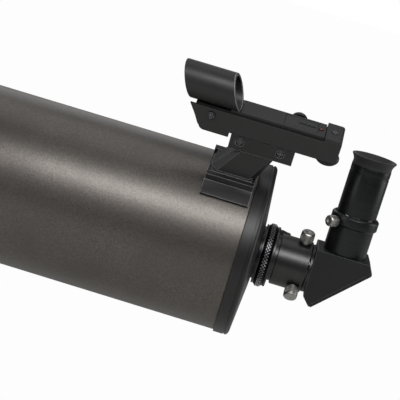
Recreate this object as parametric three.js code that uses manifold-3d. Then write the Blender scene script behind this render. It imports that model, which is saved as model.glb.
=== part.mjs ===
// Maksutov telescope: a closed tube with a meniscus lens in front and a sliding primary mirror behind,
// a visual back with a right-angle diagonal and an eyepiece, a red dot finder on its shoe, and the
// dovetail bar that a mount clamps. Millimetres, +X along the optical axis towards the observer, +Z up.
// Every piece is built about the optical axis, with x = 0 where the tube meets the rear cell, and the
// whole telescope is then moved so that its origin lies in the middle of the dovetail bar's flat face.
import * as THREE from 'three';
import { mergeVertices } from 'three/addons/utils/BufferGeometryUtils.js';
import Module from 'manifold-3d';

const wasm = await Module();
wasm.setup();

// Clearances
const fit = 0.3; // between pieces that seat in each other or lie face to face
const barrelFit = 0.25; // radial, round a barrel that slides
const threadFit = 0.4; // radial, round a screw's shank

// Facets of round pieces
const bigFacets = 44;
const facets = 28;
const smallFacets = 12;

// Tube and cells
const tube = { radius: 72.7, wall: 1.6, length: 262 };
const cell = { lip: 1.5, spigot: 10, spigotWall: 3, edge: 1 };
const frontCell = { length: 28, mouthWall: 8.2, seatWall: 5.5, ledge: 2.8, recess: 13, seatDepth: 12.3 };
const rearCell = {
  band: 8.6,
  groove: 1,
  grooveDepth: 0.8,
  depth: 17,
  shoulder: 6,
  rim: 3.6,
  flat: 28,
  wall: 5.5,
  webLip: 6,
  filletSteps: 3,
};
const corrector = { curve: 176, edge: 11, steps: 3 };
const correctorRing = { thickness: 2.7 };
const secondarySpot = { radius: 15, thickness: 0.6, steps: 2 };
const secondaryBaffle = { baseRadius: 19, mouthRadius: 16.5, wall: 1.2, length: 28, standOff: 0.8 };

// Primary mirror, its carrier and the baffle tube it slides on
const primary = { gap: 6.6, thickness: 19, bore: 22.6, curve: 640, backStation: -11, steps: 3 };
const carrier = { overhang: 6.5, plate: 5, hubGap: 0.4, nose: 3.6 };
const mirrorNut = { radius: 27, thickness: 2.6 };
const baffleTube = { radius: 17.5, bore: 15.6, reach: 150, flange: 25, flangeThickness: 3.4 };

// Focuser: a knob on the far side of the rear cell drives the carrier through a screw
const focuser = { offset: 45, angle: 5, knobRadius: 11, knobLength: 21, knobGap: 3.4, knobCap: 1.5 };
const focusRod = { radius: 3, reach: 29, travel: 9 };
const focusBush = { radius: 8, headRadius: 10, head: 2.6 };

// Rear port, coupling ring and visual back
const port = {
  shelf: 2.12,
  spigot: 19,
  neck: 22,
  neckLength: 1.5,
  flange: 25.6,
  flangeLength: 1.5,
  thread: 21,
  threadLength: 7,
};
const coupling = { radius: 27.1, width: 7.7, chamfer: 1.4 };
const visualBack = {
  flange: 26,
  flangeLength: 2,
  neck: 19.8,
  neckLength: 2.9,
  radius: 21.9,
  length: 27,
  chamfer: 0.7,
  step: 1.5,
};
const barrel = { radius: 15.87, wall: 2.27 };
const thumbscrew = { head: 6, headLength: 9.4, shank: 1.9, collarStep: 1.6, collarLength: 1.2 };
const visualScrews = { station: 7.3, angles: [75, -45] };

// Diagonal
const nose = { flange: 20.6, flangeLength: 2.6, chamfer: 0.6, gap: 0.4, length: 25.5 };
const diagonal = {
  halfWidth: 20.5,
  top: 21.8,
  bottom: 26.9,
  axis: 23.4,
  rear: 25.7,
  roofLength: 45,
  shoulder: 6.8,
  heel: 19.3,
  slopeDepth: 9,
  coverPlate: 2.6,
  coverInset: 1,
  corner: 1,
};
const prism = { leg: 32, halfWidth: 14 };
const prismPad = { thickness: 4, halfWidth: 9, length: 26 };
const coverScrew = { head: 3.6, headHeight: 2.9, shank: 1.4, shankLength: 4, inset: 6.5 };
const holder = { wall: 2.18, height: 23.9, ringStand: 1.8, ringHeight: 9.8, chamfer: 1.4, stop: 3 };
const diagonalScrew = { head: 5, headLength: 8.6, azimuth: 47, drop: 7.2 };

// Eyepiece
const eyepiece = {
  shoulder: 0.93,
  height: 41.8,
  barrelLength: 27,
  chamfer: 0.5,
  grooveDrop: 6.5,
  grooveDepth: 0.45,
  grooveWidth: 1.2,
  wellDepth: 12,
  wellTaper: 4,
};
const fieldLens = { gap: 1.2, curve: 32, edge: 2.4, height: 9 };
const eyeLens = { radius: 9.6, curve: 26, edge: 2.2, drop: 5 };
const eyecup = {
  root: 16.8,
  waist: 16.4,
  waistLevel: 2.6,
  flare: 17.4,
  flareLevel: 5.4,
  rim: 19,
  rimEdge: 0.5,
  height: 8.4,
  wall: 2.2,
  seat: 12.4,
  seatDepth: 3,
};

// Finder, turned about the optical axis from straight up towards the near side
const finderTurn = 24;
const shoe = {
  front: -41.8,
  length: 39.8,
  halfWidth: 22,
  height: 5.5,
  channelDepth: 3.4,
  rail: 4.2,
  undercut: 1.3,
  flare: 0.6,
  wingAngle: 27,
  wing: 3.1,
};
const shoeScrew = { head: 3.2, headHeight: 1.2, shank: 1.9, inset: 10, bite: 3 };
const shoeThumb = { station: -14, drop: 1.6, head: 4.5, headLength: 8, stand: 4, shank: 1.6 };
const foot = { length: 34 };
const pedestal = {
  height: 22,
  front: -40,
  length: 38,
  halfWidth: 14,
  topFront: -22,
  topLength: 30,
  topHalfWidth: 10,
  corner: 6,
};
const block = {
  front: -31,
  length: 52.3,
  halfWidth: 11,
  height: 13.8,
  screwRadius: 3.4,
  screwSunk: 2.4,
  screwLevel: 7.6,
  screwHead: 1.6,
};
const blockScrews = [8.3, 41.2];
const cradle = {
  front: -68.4,
  length: 122.4,
  halfWidth: 12,
  wall: 2,
  endWall: 3,
  floor: 3,
  height: 16.8,
  nose: 9.5,
  noseBreak: 5.2,
  rounding: 3,
  tailLength: 14.2,
  tailRise: 4,
};
const chin = { inset: 9.4, length: 26, height: 4.2, lean: 3 };
const arm = {
  sideGap: 0.3,
  rise: 3.1,
  lift: 1.3,
  front: -64,
  frontLift: 4,
  endGap: 0.6,
  tailGap: 2.4,
  tailDrop: 1.8,
  deckDrop: 2.4,
  deckEnd: 8,
};
const pivot = { station: 18.5, level: 11, radius: 2, head: 3.4, headHeight: 1 };
const sightTube = { radius: 14.4, bore: 10, length: 40.8, start: -74.7, sink: 3.6, slant: 22, facets: 32 };
const sightLens = { thickness: 2, inset: 5 };
const lamp = { station: 35.5, radius: 1.6, height: 4, tip: 1, tilt: 60 };
const batteryDoor = { start: 6, length: 27, rim: 2.1, thickness: 1.8 };
const doorSlot = { start: 12, length: 13, width: 3, depth: 0.9 };
const battery = { radius: 7, thickness: 3, facets: 24 };
const altitudeWheel = { station: 46.5, radius: 9.9, thickness: 5.8, chamfer: 1.6, screw: 1.8, bite: 3 };
const azimuthKnob = { station: 44, radius: 6, thickness: 5, screw: 1.6, reach: 5 };
const azimuthPin = { station: -26, radius: 3, height: 2.4 };
const dimmer = { station: 16.9, drop: 2.8, radius: 7, thickness: 3.2, spindle: 1.5, spindleReach: 1.6 };

// Dovetail bar on two saddles
const bar = { length: 200, start: -231, halfWidth: 22.2, thickness: 14, flank: 15, standOff: 3.3, edge: 0.8 };
const saddle = { length: 24, halfWidth: 17, inset: 14 };
const barScrew = { head: 4.6, headHeight: 4, sunk: 1.5, shank: 2.4, bite: 7, socket: 2.2, socketDepth: 2.4 };

// Stations along the axis and levels that several pieces share
const cellRadius = tube.radius + cell.lip;
const tubeBore = tube.radius - tube.wall;
const spigotRadius = tubeBore - fit;
const seatRadius = spigotRadius - frontCell.seatWall;
const correctorRadius = seatRadius - fit;
const primaryRadius = tubeBore - primary.gap;
const hubRadius = primary.bore - carrier.hubGap;
const portStart = rearCell.depth;
const ringStart = portStart + port.neckLength + port.flangeLength + fit;
const ringEnd = ringStart + coupling.width;
const backStart = ringEnd + fit;
const backBody = backStart + visualBack.flangeLength + visualBack.neckLength;
const backEnd = backBody + visualBack.length;
const barrelBore = barrel.radius - barrel.wall;
const holderBore = barrel.radius + barrelFit;
const portBore = holderBore - port.shelf;
const holderRadius = holderBore + holder.wall;
const holderRing = holderRadius + holder.ringStand;
const eyepieceRadius = barrel.radius + eyepiece.shoulder;
const noseFlangeStart = backEnd + nose.gap;
const diagonalStart = noseFlangeStart + nose.flangeLength;
const eyepieceAxis = diagonalStart + diagonal.axis;
const holderTop = diagonal.top + holder.height + holder.ringHeight;
const eyepieceTop = holderTop + fit + eyepiece.height;
const carrierBack = primary.backStation + fit + carrier.plate;
const seatX = -tube.length - frontCell.length + frontCell.recess;
const shoeTop = tube.radius + shoe.height;
const shoeFloor = shoeTop - shoe.channelDepth;
const pedestalTop = shoeTop + pedestal.height;
const blockTop = pedestalTop + block.height;
const cradleBase = blockTop + fit;
const cradleRim = cradleBase + cradle.height;
const cradleEnd = cradle.front + cradle.length;
const armTop = cradleRim + arm.rise;
const armBase = cradleBase + cradle.floor + arm.lift;
const armHalf = cradle.halfWidth - cradle.wall - arm.sideGap;
const doorHalf = armHalf - batteryDoor.rim;
const pivotX = cradle.front + pivot.station;
const pivotZ = cradleBase + pivot.level;
const saddleTop = tube.radius + bar.standOff;
const barFace = saddleTop + bar.thickness;

// Seats that must touch keep a hair's gap, and cutters run past what they cut.
const seatGap = 0.1;
const past = 1;

const radians = THREE.MathUtils.degToRad;

// A closed geometry as a solid, with its shared vertices merged and its faces turned outwards.
function solid(geometry) {
  geometry.deleteAttribute('normal');
  geometry.deleteAttribute('uv');
  const merged = mergeVertices(geometry, 1e-4);
  const position = merged.attributes.position;
  const corners = [];
  let volume = 0;
  const [a, b, c] = [new THREE.Vector3(), new THREE.Vector3(), new THREE.Vector3()];
  for (let i = 0; i < merged.index.count; i += 3) {
    const triangle = [0, 1, 2].map((k) => merged.index.getX(i + k));
    if (new Set(triangle).size < 3) continue;
    corners.push(triangle);
    [a, b, c].forEach((corner, k) => corner.fromBufferAttribute(position, triangle[k]));
    volume += a.dot(b.cross(c));
  }
  const triVerts = new Uint32Array(corners.map((t) => (volume < 0 ? [t[0], t[2], t[1]] : t)).flat());
  const vertProperties = new Float32Array(position.array);
  return new wasm.Manifold(new wasm.Mesh({ numProp: 3, vertProperties, triVerts }));
}

// A solid turned about the optical axis from a closed profile of [x, radius] points.
function turned(profile, steps = facets) {
  const points = [...profile, profile[0]].map(([x, radius]) => new THREE.Vector2(radius, x));
  const geometry = new THREE.LatheGeometry(points, steps);
  geometry.rotateZ(-Math.PI / 2);
  return solid(geometry);
}

// The same about an upright axis at [x, y], from [z, radius] points.
function turnedUp(profile, x, y = 0, steps = facets) {
  const points = [...profile, profile[0]].map(([z, radius]) => new THREE.Vector2(radius, z));
  const geometry = new THREE.LatheGeometry(points, steps);
  geometry.rotateX(Math.PI / 2);
  geometry.translate(x, y, 0);
  return solid(geometry);
}

// A profile for a plain ring or, with no bore, a plain rod.
function ringProfile(from, to, radius, bore = 0) {
  return [[from, bore], [from, radius], [to, radius], [to, bore]];
}

// A round pin along +Z from z = from to z = to, made ready to be turned and moved by geometry calls.
function pinGeometry(radius, from, to, steps = smallFacets) {
  const geometry = new THREE.CylinderGeometry(radius, radius, to - from, steps);
  geometry.rotateX(Math.PI / 2);
  geometry.translate(0, 0, (from + to) / 2);
  return geometry;
}

// A pin that points away from the optical axis at an angle up from the near side, at station x.
function radialPin(radius, from, to, x, angle, steps = smallFacets) {
  const geometry = pinGeometry(radius, from, to, steps);
  geometry.rotateX(radians(90 - angle));
  geometry.translate(x, 0, 0);
  return solid(geometry);
}

// A pin across the width, from y = from to y = to.
function crossPin(radius, from, to, x, z, steps = smallFacets) {
  const geometry = pinGeometry(radius, from, to, steps);
  geometry.rotateX(-Math.PI / 2);
  geometry.translate(x, 0, z);
  return solid(geometry);
}

function box(x0, x1, y0, y1, z0, z1) {
  const geometry = new THREE.BoxGeometry(x1 - x0, y1 - y0, z1 - z0);
  geometry.translate((x0 + x1) / 2, (y0 + y1) / 2, (z0 + z1) / 2);
  return solid(geometry);
}

// A closed outline from [u, v, rounding] points, each corner with its own rounding.
function roundedShape(points) {
  const shape = new THREE.Shape();
  points.forEach(([u, v, rounding = 0], i) => {
    const corner = new THREE.Vector2(u, v);
    const before = new THREE.Vector2(...points[(i + points.length - 1) % points.length]);
    const after = new THREE.Vector2(...points[(i + 1) % points.length]);
    const entry = before.sub(corner).setLength(rounding).add(corner);
    const exit = after.sub(corner).setLength(rounding).add(corner);
    if (i === 0) shape.moveTo(entry.x, entry.y);
    else shape.lineTo(entry.x, entry.y);
    if (rounding > 0) shape.quadraticCurveTo(corner.x, corner.y, exit.x, exit.y);
  });
  return shape;
}

// A plate with its outline in x and z, from y = y0 to y = y1.
function plate(points, y0, y1, curveSegments = 5) {
  const settings = { depth: y1 - y0, bevelEnabled: false, curveSegments };
  const geometry = new THREE.ExtrudeGeometry(roundedShape(points), settings);
  geometry.rotateX(Math.PI / 2);
  geometry.translate(0, y1, 0);
  return solid(geometry);
}

// A bar with its outline in y and z, from x = x0 to x = x1.
function runner(points, x0, x1, curveSegments = 5) {
  const settings = { depth: x1 - x0, bevelEnabled: false, curveSegments };
  const geometry = new THREE.ExtrudeGeometry(roundedShape(points), settings);
  geometry.rotateX(Math.PI / 2);
  geometry.rotateZ(Math.PI / 2);
  geometry.translate(x0, 0, 0);
  return solid(geometry);
}

// How far a spherical surface falls away from its middle at a radius.
function sag(curve, radius) {
  return curve - Math.sqrt(curve * curve - radius * radius);
}

// Points of a spherical surface from an inner to an outer radius, with its middle at x.
function dome(x, curve, inner, outer, steps) {
  return Array.from({ length: steps + 1 }, (_, i) => {
    const radius = inner + ((outer - inner) * i) / steps;
    return [x - sag(curve, radius), radius];
  });
}

function mainTube() {
  let shell = turned(ringProfile(-tube.length, 0, tube.radius, tubeBore), bigFacets);
  const wallHole = (radius, x, angle) => radialPin(radius, tubeBore - past, tube.radius + past, x, angle);
  for (const x of shoeScrewStations()) {
    shell = shell.subtract(wallHole(shoeScrew.shank + threadFit, x, 90 - finderTurn));
  }
  for (const x of barScrewStations()) {
    shell = shell.subtract(wallHole(barScrew.shank + threadFit, x, 180));
  }
  return shell;
}

function frontCellBody() {
  const mouthX = -tube.length - frontCell.length;
  const mouth = cellRadius - frontCell.mouthWall;
  const ledge = seatRadius - frontCell.ledge;
  const ledgeX = seatX + frontCell.seatDepth;
  const ringX = seatX - correctorRing.thickness - fit;
  return turned([
    [mouthX, mouth],
    [mouthX, cellRadius - cell.edge],
    [mouthX + cell.edge, cellRadius],
    [-tube.length, cellRadius],
    [-tube.length, spigotRadius],
    [-tube.length + cell.spigot, spigotRadius],
    [-tube.length + cell.spigot, ledge],
    [ledgeX, ledge],
    [ledgeX, seatRadius],
    [ringX, seatRadius],
    [ringX, mouth],
  ], bigFacets);
}

// The meniscus bulges towards the primary: its edge sits at the seat and its middle lies deeper in.
function correctorLens() {
  const frontMiddle = seatX + sag(corrector.curve, correctorRadius);
  const front = dome(frontMiddle, corrector.curve, 0, correctorRadius, corrector.steps);
  const back = dome(frontMiddle + corrector.edge, corrector.curve, 0, correctorRadius, corrector.steps);
  return turned([...front, ...back.reverse()], bigFacets);
}

function correctorBackX(radius) {
  return seatX + sag(corrector.curve, correctorRadius) + corrector.edge - sag(corrector.curve, radius);
}

function correctorRingBody() {
  const inner = seatRadius - frontCell.ledge;
  const profile = ringProfile(seatX - correctorRing.thickness, seatX - seatGap, seatRadius - fit, inner);
  return turned(profile, bigFacets);
}

function secondarySpotBody() {
  const front = dome(correctorBackX(0) + fit, corrector.curve, 0, secondarySpot.radius, secondarySpot.steps);
  const back = front.map(([x, radius]) => [x + secondarySpot.thickness, radius]);
  return turned([...front, ...back.reverse()]);
}

function secondaryBaffleBody() {
  const base = correctorBackX(secondaryBaffle.baseRadius) + secondaryBaffle.standOff;
  return turned([
    [base, secondaryBaffle.baseRadius - secondaryBaffle.wall],
    [base, secondaryBaffle.baseRadius],
    [base + secondaryBaffle.length, secondaryBaffle.mouthRadius],
    [base + secondaryBaffle.length, secondaryBaffle.mouthRadius - secondaryBaffle.wall],
  ]);
}

// Rear cell: a shallow cup whose back face swells slightly towards the port in its middle.
function rearCellBody() {
  const inner = spigotRadius - cell.spigotWall;
  const grooveEnd = rearCell.band + rearCell.groove;
  const rimX = rearCell.depth - rearCell.rim;
  const wallX = rearCell.depth - rearCell.wall;
  const shoulder = new THREE.QuadraticBezierCurve(
    new THREE.Vector2(grooveEnd, cellRadius),
    new THREE.Vector2(rimX, cellRadius),
    new THREE.Vector2(rimX, cellRadius - rearCell.shoulder),
  );
  const fillet = shoulder.getPoints(rearCell.filletSteps).map((point) => [point.x, point.y]);
  const body = turned([
    [-cell.spigot, inner],
    [-cell.spigot, spigotRadius],
    [0, spigotRadius],
    [0, cellRadius],
    [rearCell.band, cellRadius],
    [rearCell.band, cellRadius - rearCell.grooveDepth],
    [grooveEnd, cellRadius - rearCell.grooveDepth],
    ...fillet,
    [rearCell.depth, rearCell.flat],
    [rearCell.depth, port.spigot + fit],
    [wallX, port.spigot + fit],
    [wallX, inner - rearCell.webLip],
    [wallX - rearCell.webLip, inner],
  ], bigFacets);
  return body.subtract(onFocusAxis(focusBush.radius + fit, wallX - past, rearCell.depth + past));
}

function onFocusAxis(radius, from, to, steps = smallFacets) {
  const geometry = pinGeometry(radius, from, to, steps);
  geometry.rotateY(Math.PI / 2);
  geometry.translate(0, focusY(), focusZ());
  return solid(geometry);
}

function focusY() {
  return focuser.offset * Math.cos(radians(focuser.angle));
}

function focusZ() {
  return focuser.offset * Math.sin(radians(focuser.angle));
}

function primaryMirror() {
  const { curve, bore, backStation, steps } = primary;
  const front = backStation - primary.thickness;
  const face = dome(front, curve, bore, primaryRadius, steps).map(([x, r]) => [2 * front - x, r]);
  return turned([...face, [backStation, primaryRadius], [backStation, bore]], bigFacets);
}

function mirrorCarrier() {
  const front = primary.backStation - primary.thickness - carrier.nose;
  const bore = baffleTube.radius + barrelFit;
  const plateFront = primary.backStation + fit;
  const body = turned([
    [front, bore],
    [front, hubRadius],
    [plateFront, hubRadius],
    [plateFront, primaryRadius - carrier.overhang],
    [carrierBack, primaryRadius - carrier.overhang],
    [carrierBack, bore],
  ], bigFacets);
  return body.subtract(onFocusAxis(focusRod.radius + threadFit, plateFront - past, carrierBack + past));
}

function mirrorNutBody() {
  const back = primary.backStation - primary.thickness - fit;
  const profile = ringProfile(back - mirrorNut.thickness, back, mirrorNut.radius, hubRadius + fit);
  return turned(profile);
}

function baffleTubeBody() {
  const wallX = rearCell.depth - rearCell.wall;
  return turned([
    [wallX - baffleTube.reach, baffleTube.bore],
    [wallX - baffleTube.reach, baffleTube.radius],
    [wallX - baffleTube.flangeThickness, baffleTube.radius],
    [wallX - baffleTube.flangeThickness, baffleTube.flange],
    [wallX - seatGap, baffleTube.flange],
    [wallX - seatGap, baffleTube.bore],
  ]);
}

function focusBushBody() {
  const wallX = rearCell.depth - rearCell.wall;
  const headX = rearCell.depth + fit;
  const headEnd = headX + focusBush.head;
  const sleeve = onFocusAxis(focusBush.radius, wallX, headX);
  const head = onFocusAxis(focusBush.headRadius, headX, headEnd);
  return sleeve.add(head).subtract(onFocusAxis(focusRod.radius + threadFit, wallX - past, headEnd + past));
}

// The rod is fixed in the carrier and its threaded end works in the hollow knob.
function focusRodBody() {
  return onFocusAxis(focusRod.radius, primary.backStation + 2 * fit, focusRod.reach);
}

function focusKnobBody() {
  const start = rearCell.depth + focuser.knobGap;
  const end = start + focuser.knobLength;
  const grip = onFocusAxis(focuser.knobRadius, start, end - focuser.knobCap, facets);
  const cap = onFocusAxis(focuser.knobRadius - focuser.knobCap, end - focuser.knobCap, end, facets);
  const boreEnd = focusRod.reach + focusRod.travel;
  return grip.add(cap).subtract(onFocusAxis(focusRod.radius + threadFit, start - past, boreEnd));
}

function rearPort() {
  const wallX = rearCell.depth - rearCell.wall;
  const flangeX = portStart + port.neckLength;
  const threadX = flangeX + port.flangeLength;
  return turned([
    [wallX, portBore],
    [wallX, port.spigot],
    [portStart + seatGap, port.spigot],
    [portStart + seatGap, port.neck],
    [flangeX, port.neck],
    [flangeX, port.flange],
    [threadX, port.flange],
    [threadX, port.thread],
    [threadX + port.threadLength, port.thread],
    [threadX + port.threadLength, portBore],
  ]);
}

function couplingRing() {
  const bore = port.thread + threadFit;
  return turned([
    [ringStart, bore],
    [ringStart, coupling.radius - coupling.chamfer],
    [ringStart + coupling.chamfer, coupling.radius],
    [ringEnd - coupling.chamfer, coupling.radius],
    [ringEnd, coupling.radius - coupling.chamfer],
    [ringEnd, bore],
  ]);
}

function visualBackBody() {
  const stop = backBody + visualBack.step;
  let body = turned([
    [backStart, portBore],
    [backStart, visualBack.flange],
    [backStart + visualBack.flangeLength, visualBack.flange],
    [backStart + visualBack.flangeLength, visualBack.neck],
    [backBody, visualBack.neck],
    [backBody, visualBack.radius - visualBack.chamfer],
    [backBody + visualBack.chamfer, visualBack.radius],
    [backEnd - visualBack.chamfer, visualBack.radius],
    [backEnd, visualBack.radius - visualBack.chamfer],
    [backEnd, holderBore],
    [stop, holderBore],
    [stop, portBore],
  ]);
  const holeRadius = thumbscrew.shank + threadFit;
  for (const angle of visualScrews.angles) {
    body = body.subtract(radialPin(holeRadius, portBore, visualBack.radius + past, visualScrewX(), angle));
  }
  return body;
}

function visualScrewX() {
  return backEnd - visualScrews.station;
}

// A thumbscrew along +Z: its tip at the barrel, a plain shank, a narrow collar and a round grip.
function thumbscrewGeometry(tip, surface, head, headLength, shank) {
  const collarTop = surface + fit + thumbscrew.collarLength;
  const collar = head - thumbscrew.collarStep;
  const profile = [
    [tip, 0],
    [tip, shank],
    [surface + fit, shank],
    [surface + fit, collar],
    [collarTop, collar],
    [collarTop, head],
    [collarTop + headLength, head],
    [collarTop + headLength, 0],
  ];
  const points = profile.map(([z, radius]) => new THREE.Vector2(radius, z));
  const geometry = new THREE.LatheGeometry(points, smallFacets);
  geometry.rotateX(Math.PI / 2);
  return geometry;
}

function visualScrewBody(angle) {
  const tip = barrel.radius + barrelFit / 2;
  const { head, headLength, shank } = thumbscrew;
  const geometry = thumbscrewGeometry(tip, visualBack.radius, head, headLength, shank);
  geometry.rotateX(radians(90 - angle));
  geometry.translate(visualScrewX(), 0, 0);
  return solid(geometry);
}

function diagonalNose() {
  return turned([
    [noseFlangeStart - nose.length, barrelBore],
    [noseFlangeStart - nose.length, barrel.radius],
    [noseFlangeStart, barrel.radius],
    [noseFlangeStart, nose.flange - nose.chamfer],
    [noseFlangeStart + nose.chamfer, nose.flange],
    [diagonalStart, nose.flange],
    [diagonalStart, barrelBore],
  ]);
}

// The side outline of the diagonal: square to the nose and the eyepiece, and cut off along the mirror's
// slope, behind which lies the cover plate.
function housingOutline() {
  const x0 = diagonalStart + seatGap;
  const { upper, lower } = slopeEnds();
  const { top, roofLength, shoulder, heel, corner } = diagonal;
  return [
    [x0, top, corner],
    [x0 + roofLength, top, corner],
    [upper.x, top - shoulder, corner],
    [upper.x, upper.y, corner / 2],
    [lower.x, lower.y, corner / 2],
    [x0 + shoulder, lower.y, corner],
    [x0, -heel, corner],
  ];
}

function slopeAt(behind) {
  return eyepieceAxis + behind * Math.SQRT2;
}

// Everything that lies further behind the mirror plane than a given depth.
function behindSlope(depth, halfWidth) {
  const slope = slopeAt(depth);
  const reach = 2 * diagonal.roofLength;
  return plate([
    [slope - reach, -reach],
    [slope + reach, reach],
    [slope + 2 * reach, 0],
    [slope, -2 * reach],
  ], -halfWidth, halfWidth);
}

function diagonalHousing() {
  const half = prism.leg / 2 + fit;
  const slack = diagonal.slopeDepth * Math.SQRT2;
  const [left, right] = [eyepieceAxis - half, eyepieceAxis + half];
  const chamber = plate([
    [left, half],
    [right, half],
    [right + slack, half - slack],
    [left + slack, -half - slack],
    [left, -half],
  ], -prism.halfWidth - fit, prism.halfWidth + fit);
  let body = plate(housingOutline(), -diagonal.halfWidth, diagonal.halfWidth).subtract(chamber);
  body = body.subtract(behindSlope(diagonal.slopeDepth - diagonal.coverPlate, diagonal.halfWidth + past));
  body = body.subtract(turned(ringProfile(diagonalStart - past, left + past, barrelBore)));
  body = body.subtract(turnedUp(ringProfile(half - past, diagonal.top + past, barrelBore), eyepieceAxis));
  const holeRadius = coverScrew.shank + threadFit;
  for (const end of [-1, 1]) {
    body = body.subtract(slopePin(holeRadius, end, -coverScrew.shankLength - past, diagonal.coverPlate));
  }
  return body;
}

// The two ends of the slope, where it meets the rear face and the underside.
function slopeEnds() {
  const slope = slopeAt(diagonal.slopeDepth);
  const rear = eyepieceAxis + diagonal.rear;
  const upper = new THREE.Vector2(rear, rear - slope);
  const lower = new THREE.Vector2(slope - diagonal.bottom, -diagonal.bottom);
  return { upper, lower };
}

function slopePin(radius, end, from, to, steps = smallFacets) {
  const { upper, lower } = slopeEnds();
  const along = upper.clone().sub(lower).setLength(coverScrew.inset);
  const at = end > 0 ? upper.clone().sub(along) : lower.clone().add(along);
  const normal = new THREE.Vector2(1, -1).normalize();
  at.addScaledVector(normal, -diagonal.coverPlate);
  const geometry = pinGeometry(radius, from, to, steps);
  geometry.rotateY(Math.PI * 0.75);
  geometry.translate(at.x, 0, at.y);
  return solid(geometry);
}

function diagonalCover() {
  const halfWidth = diagonal.halfWidth - diagonal.coverInset;
  const depth = diagonal.slopeDepth - diagonal.coverPlate + seatGap;
  let body = plate(housingOutline(), -halfWidth, halfWidth).intersect(behindSlope(depth, diagonal.halfWidth));
  for (const end of [-1, 1]) {
    body = body.subtract(slopePin(coverScrew.shank + threadFit, end, -past, diagonal.coverPlate + past));
  }
  return body;
}

function coverScrewBody(end) {
  const shank = slopePin(coverScrew.shank, end, -coverScrew.shankLength, diagonal.coverPlate + fit);
  const headStart = diagonal.coverPlate + seatGap;
  return shank.add(slopePin(coverScrew.head, end, headStart, headStart + coverScrew.headHeight));
}

function diagonalPrism() {
  const half = prism.leg / 2;
  return plate([
    [eyepieceAxis - half, half],
    [eyepieceAxis + half, half],
    [eyepieceAxis - half, -half],
  ], -prism.halfWidth, prism.halfWidth);
}

// A foam pad between the prism's long face and the cover plate.
function prismPadBody() {
  const normal = new THREE.Vector2(1, -1).normalize();
  const along = new THREE.Vector2(1, 1).normalize();
  const middle = new THREE.Vector2(eyepieceAxis, 0).addScaledVector(normal, fit);
  const corners = [[-1, 0], [1, 0], [1, 1], [-1, 1]].map(([side, depth]) => {
    const corner = middle.clone().addScaledVector(along, (side * prismPad.length) / 2);
    corner.addScaledVector(normal, depth * prismPad.thickness);
    return [corner.x, corner.y];
  });
  return plate(corners, -prismPad.halfWidth, prismPad.halfWidth);
}

function eyepieceHolder() {
  const ringZ = diagonal.top + holder.height;
  const bottom = diagonal.top + seatGap;
  const stop = bottom + holder.stop;
  const body = turnedUp([
    [bottom, barrelBore],
    [bottom, holderRadius],
    [ringZ, holderRadius],
    [ringZ, holderRing - holder.chamfer],
    [ringZ + holder.chamfer, holderRing],
    [holderTop - holder.chamfer, holderRing],
    [holderTop, holderRing - holder.chamfer],
    [holderTop, holderBore],
    [stop, holderBore],
    [stop, barrelBore],
  ], eyepieceAxis);
  const hole = pinGeometry(thumbscrew.shank + threadFit, barrelBore, holderRing + past);
  return body.subtract(holderScrew(hole));
}

function holderScrew(geometry) {
  geometry.rotateX(Math.PI / 2);
  geometry.rotateZ(-radians(diagonalScrew.azimuth));
  geometry.translate(eyepieceAxis, 0, holderTop - diagonalScrew.drop);
  return solid(geometry);
}

function diagonalScrewBody() {
  const tip = barrel.radius + barrelFit / 2;
  const { head, headLength } = diagonalScrew;
  return holderScrew(thumbscrewGeometry(tip, holderRing, head, headLength, thumbscrew.shank));
}

function eyepieceBarrel() {
  const top = holderTop + fit;
  const profile = ringProfile(top - eyepiece.barrelLength, top, barrel.radius, barrelBore);
  return turnedUp(profile, eyepieceAxis);
}

function eyepieceBody() {
  const bottom = holderTop + fit + seatGap;
  const { chamfer, wellDepth } = eyepiece;
  const radius = eyepieceRadius;
  const grooveZ = eyepieceTop - eyepiece.grooveDrop;
  const grooveRadius = radius - eyepiece.grooveDepth;
  const well = eyeLens.radius + fit;
  return turnedUp([
    [bottom, barrelBore],
    [bottom, radius - chamfer],
    [bottom + chamfer, radius],
    [grooveZ, radius],
    [grooveZ, grooveRadius],
    [grooveZ + eyepiece.grooveWidth, grooveRadius],
    [grooveZ + eyepiece.grooveWidth, radius],
    [eyepieceTop, radius],
    [eyepieceTop, well],
    [eyepieceTop - wellDepth, well],
    [eyepieceTop - wellDepth - eyepiece.wellTaper, barrelBore],
  ], eyepieceAxis);
}

// A lens with two equal convex faces round an upright axis, its lower edge at z.
function biconvex(z, radius, { edge, curve }) {
  const crown = sag(curve, radius);
  const rising = [0, 0.5, 1].map((share) => [z - crown + sag(curve, radius * share), radius * share]);
  const falling = rising.map(([level, r]) => [2 * z + edge - level, r]).reverse();
  return turnedUp([...rising, ...falling], eyepieceAxis);
}

function eyecupBody() {
  const base = eyepieceTop + seatGap;
  const top = base + eyecup.height;
  return turnedUp([
    [base, eyecup.seat],
    [base, eyecup.root],
    [base + eyecup.waistLevel, eyecup.waist],
    [base + eyecup.flareLevel, eyecup.flare],
    [top - eyecup.rimEdge, eyecup.rim],
    [top, eyecup.rim - eyecup.rimEdge],
    [top, eyecup.rim - eyecup.wall],
    [base + eyecup.seatDepth, eyecup.seat],
  ], eyepieceAxis);
}

// Finder pieces, in the finder's own frame: x as the telescope's, y across, z away from the optical axis.
function shoeScrewStations() {
  return [shoe.front + shoeScrew.inset, shoe.front + shoe.length - shoeScrew.inset];
}

function tubeBlank(radius, x0, x1) {
  return turned(ringProfile(x0, x1, radius), bigFacets);
}

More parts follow.
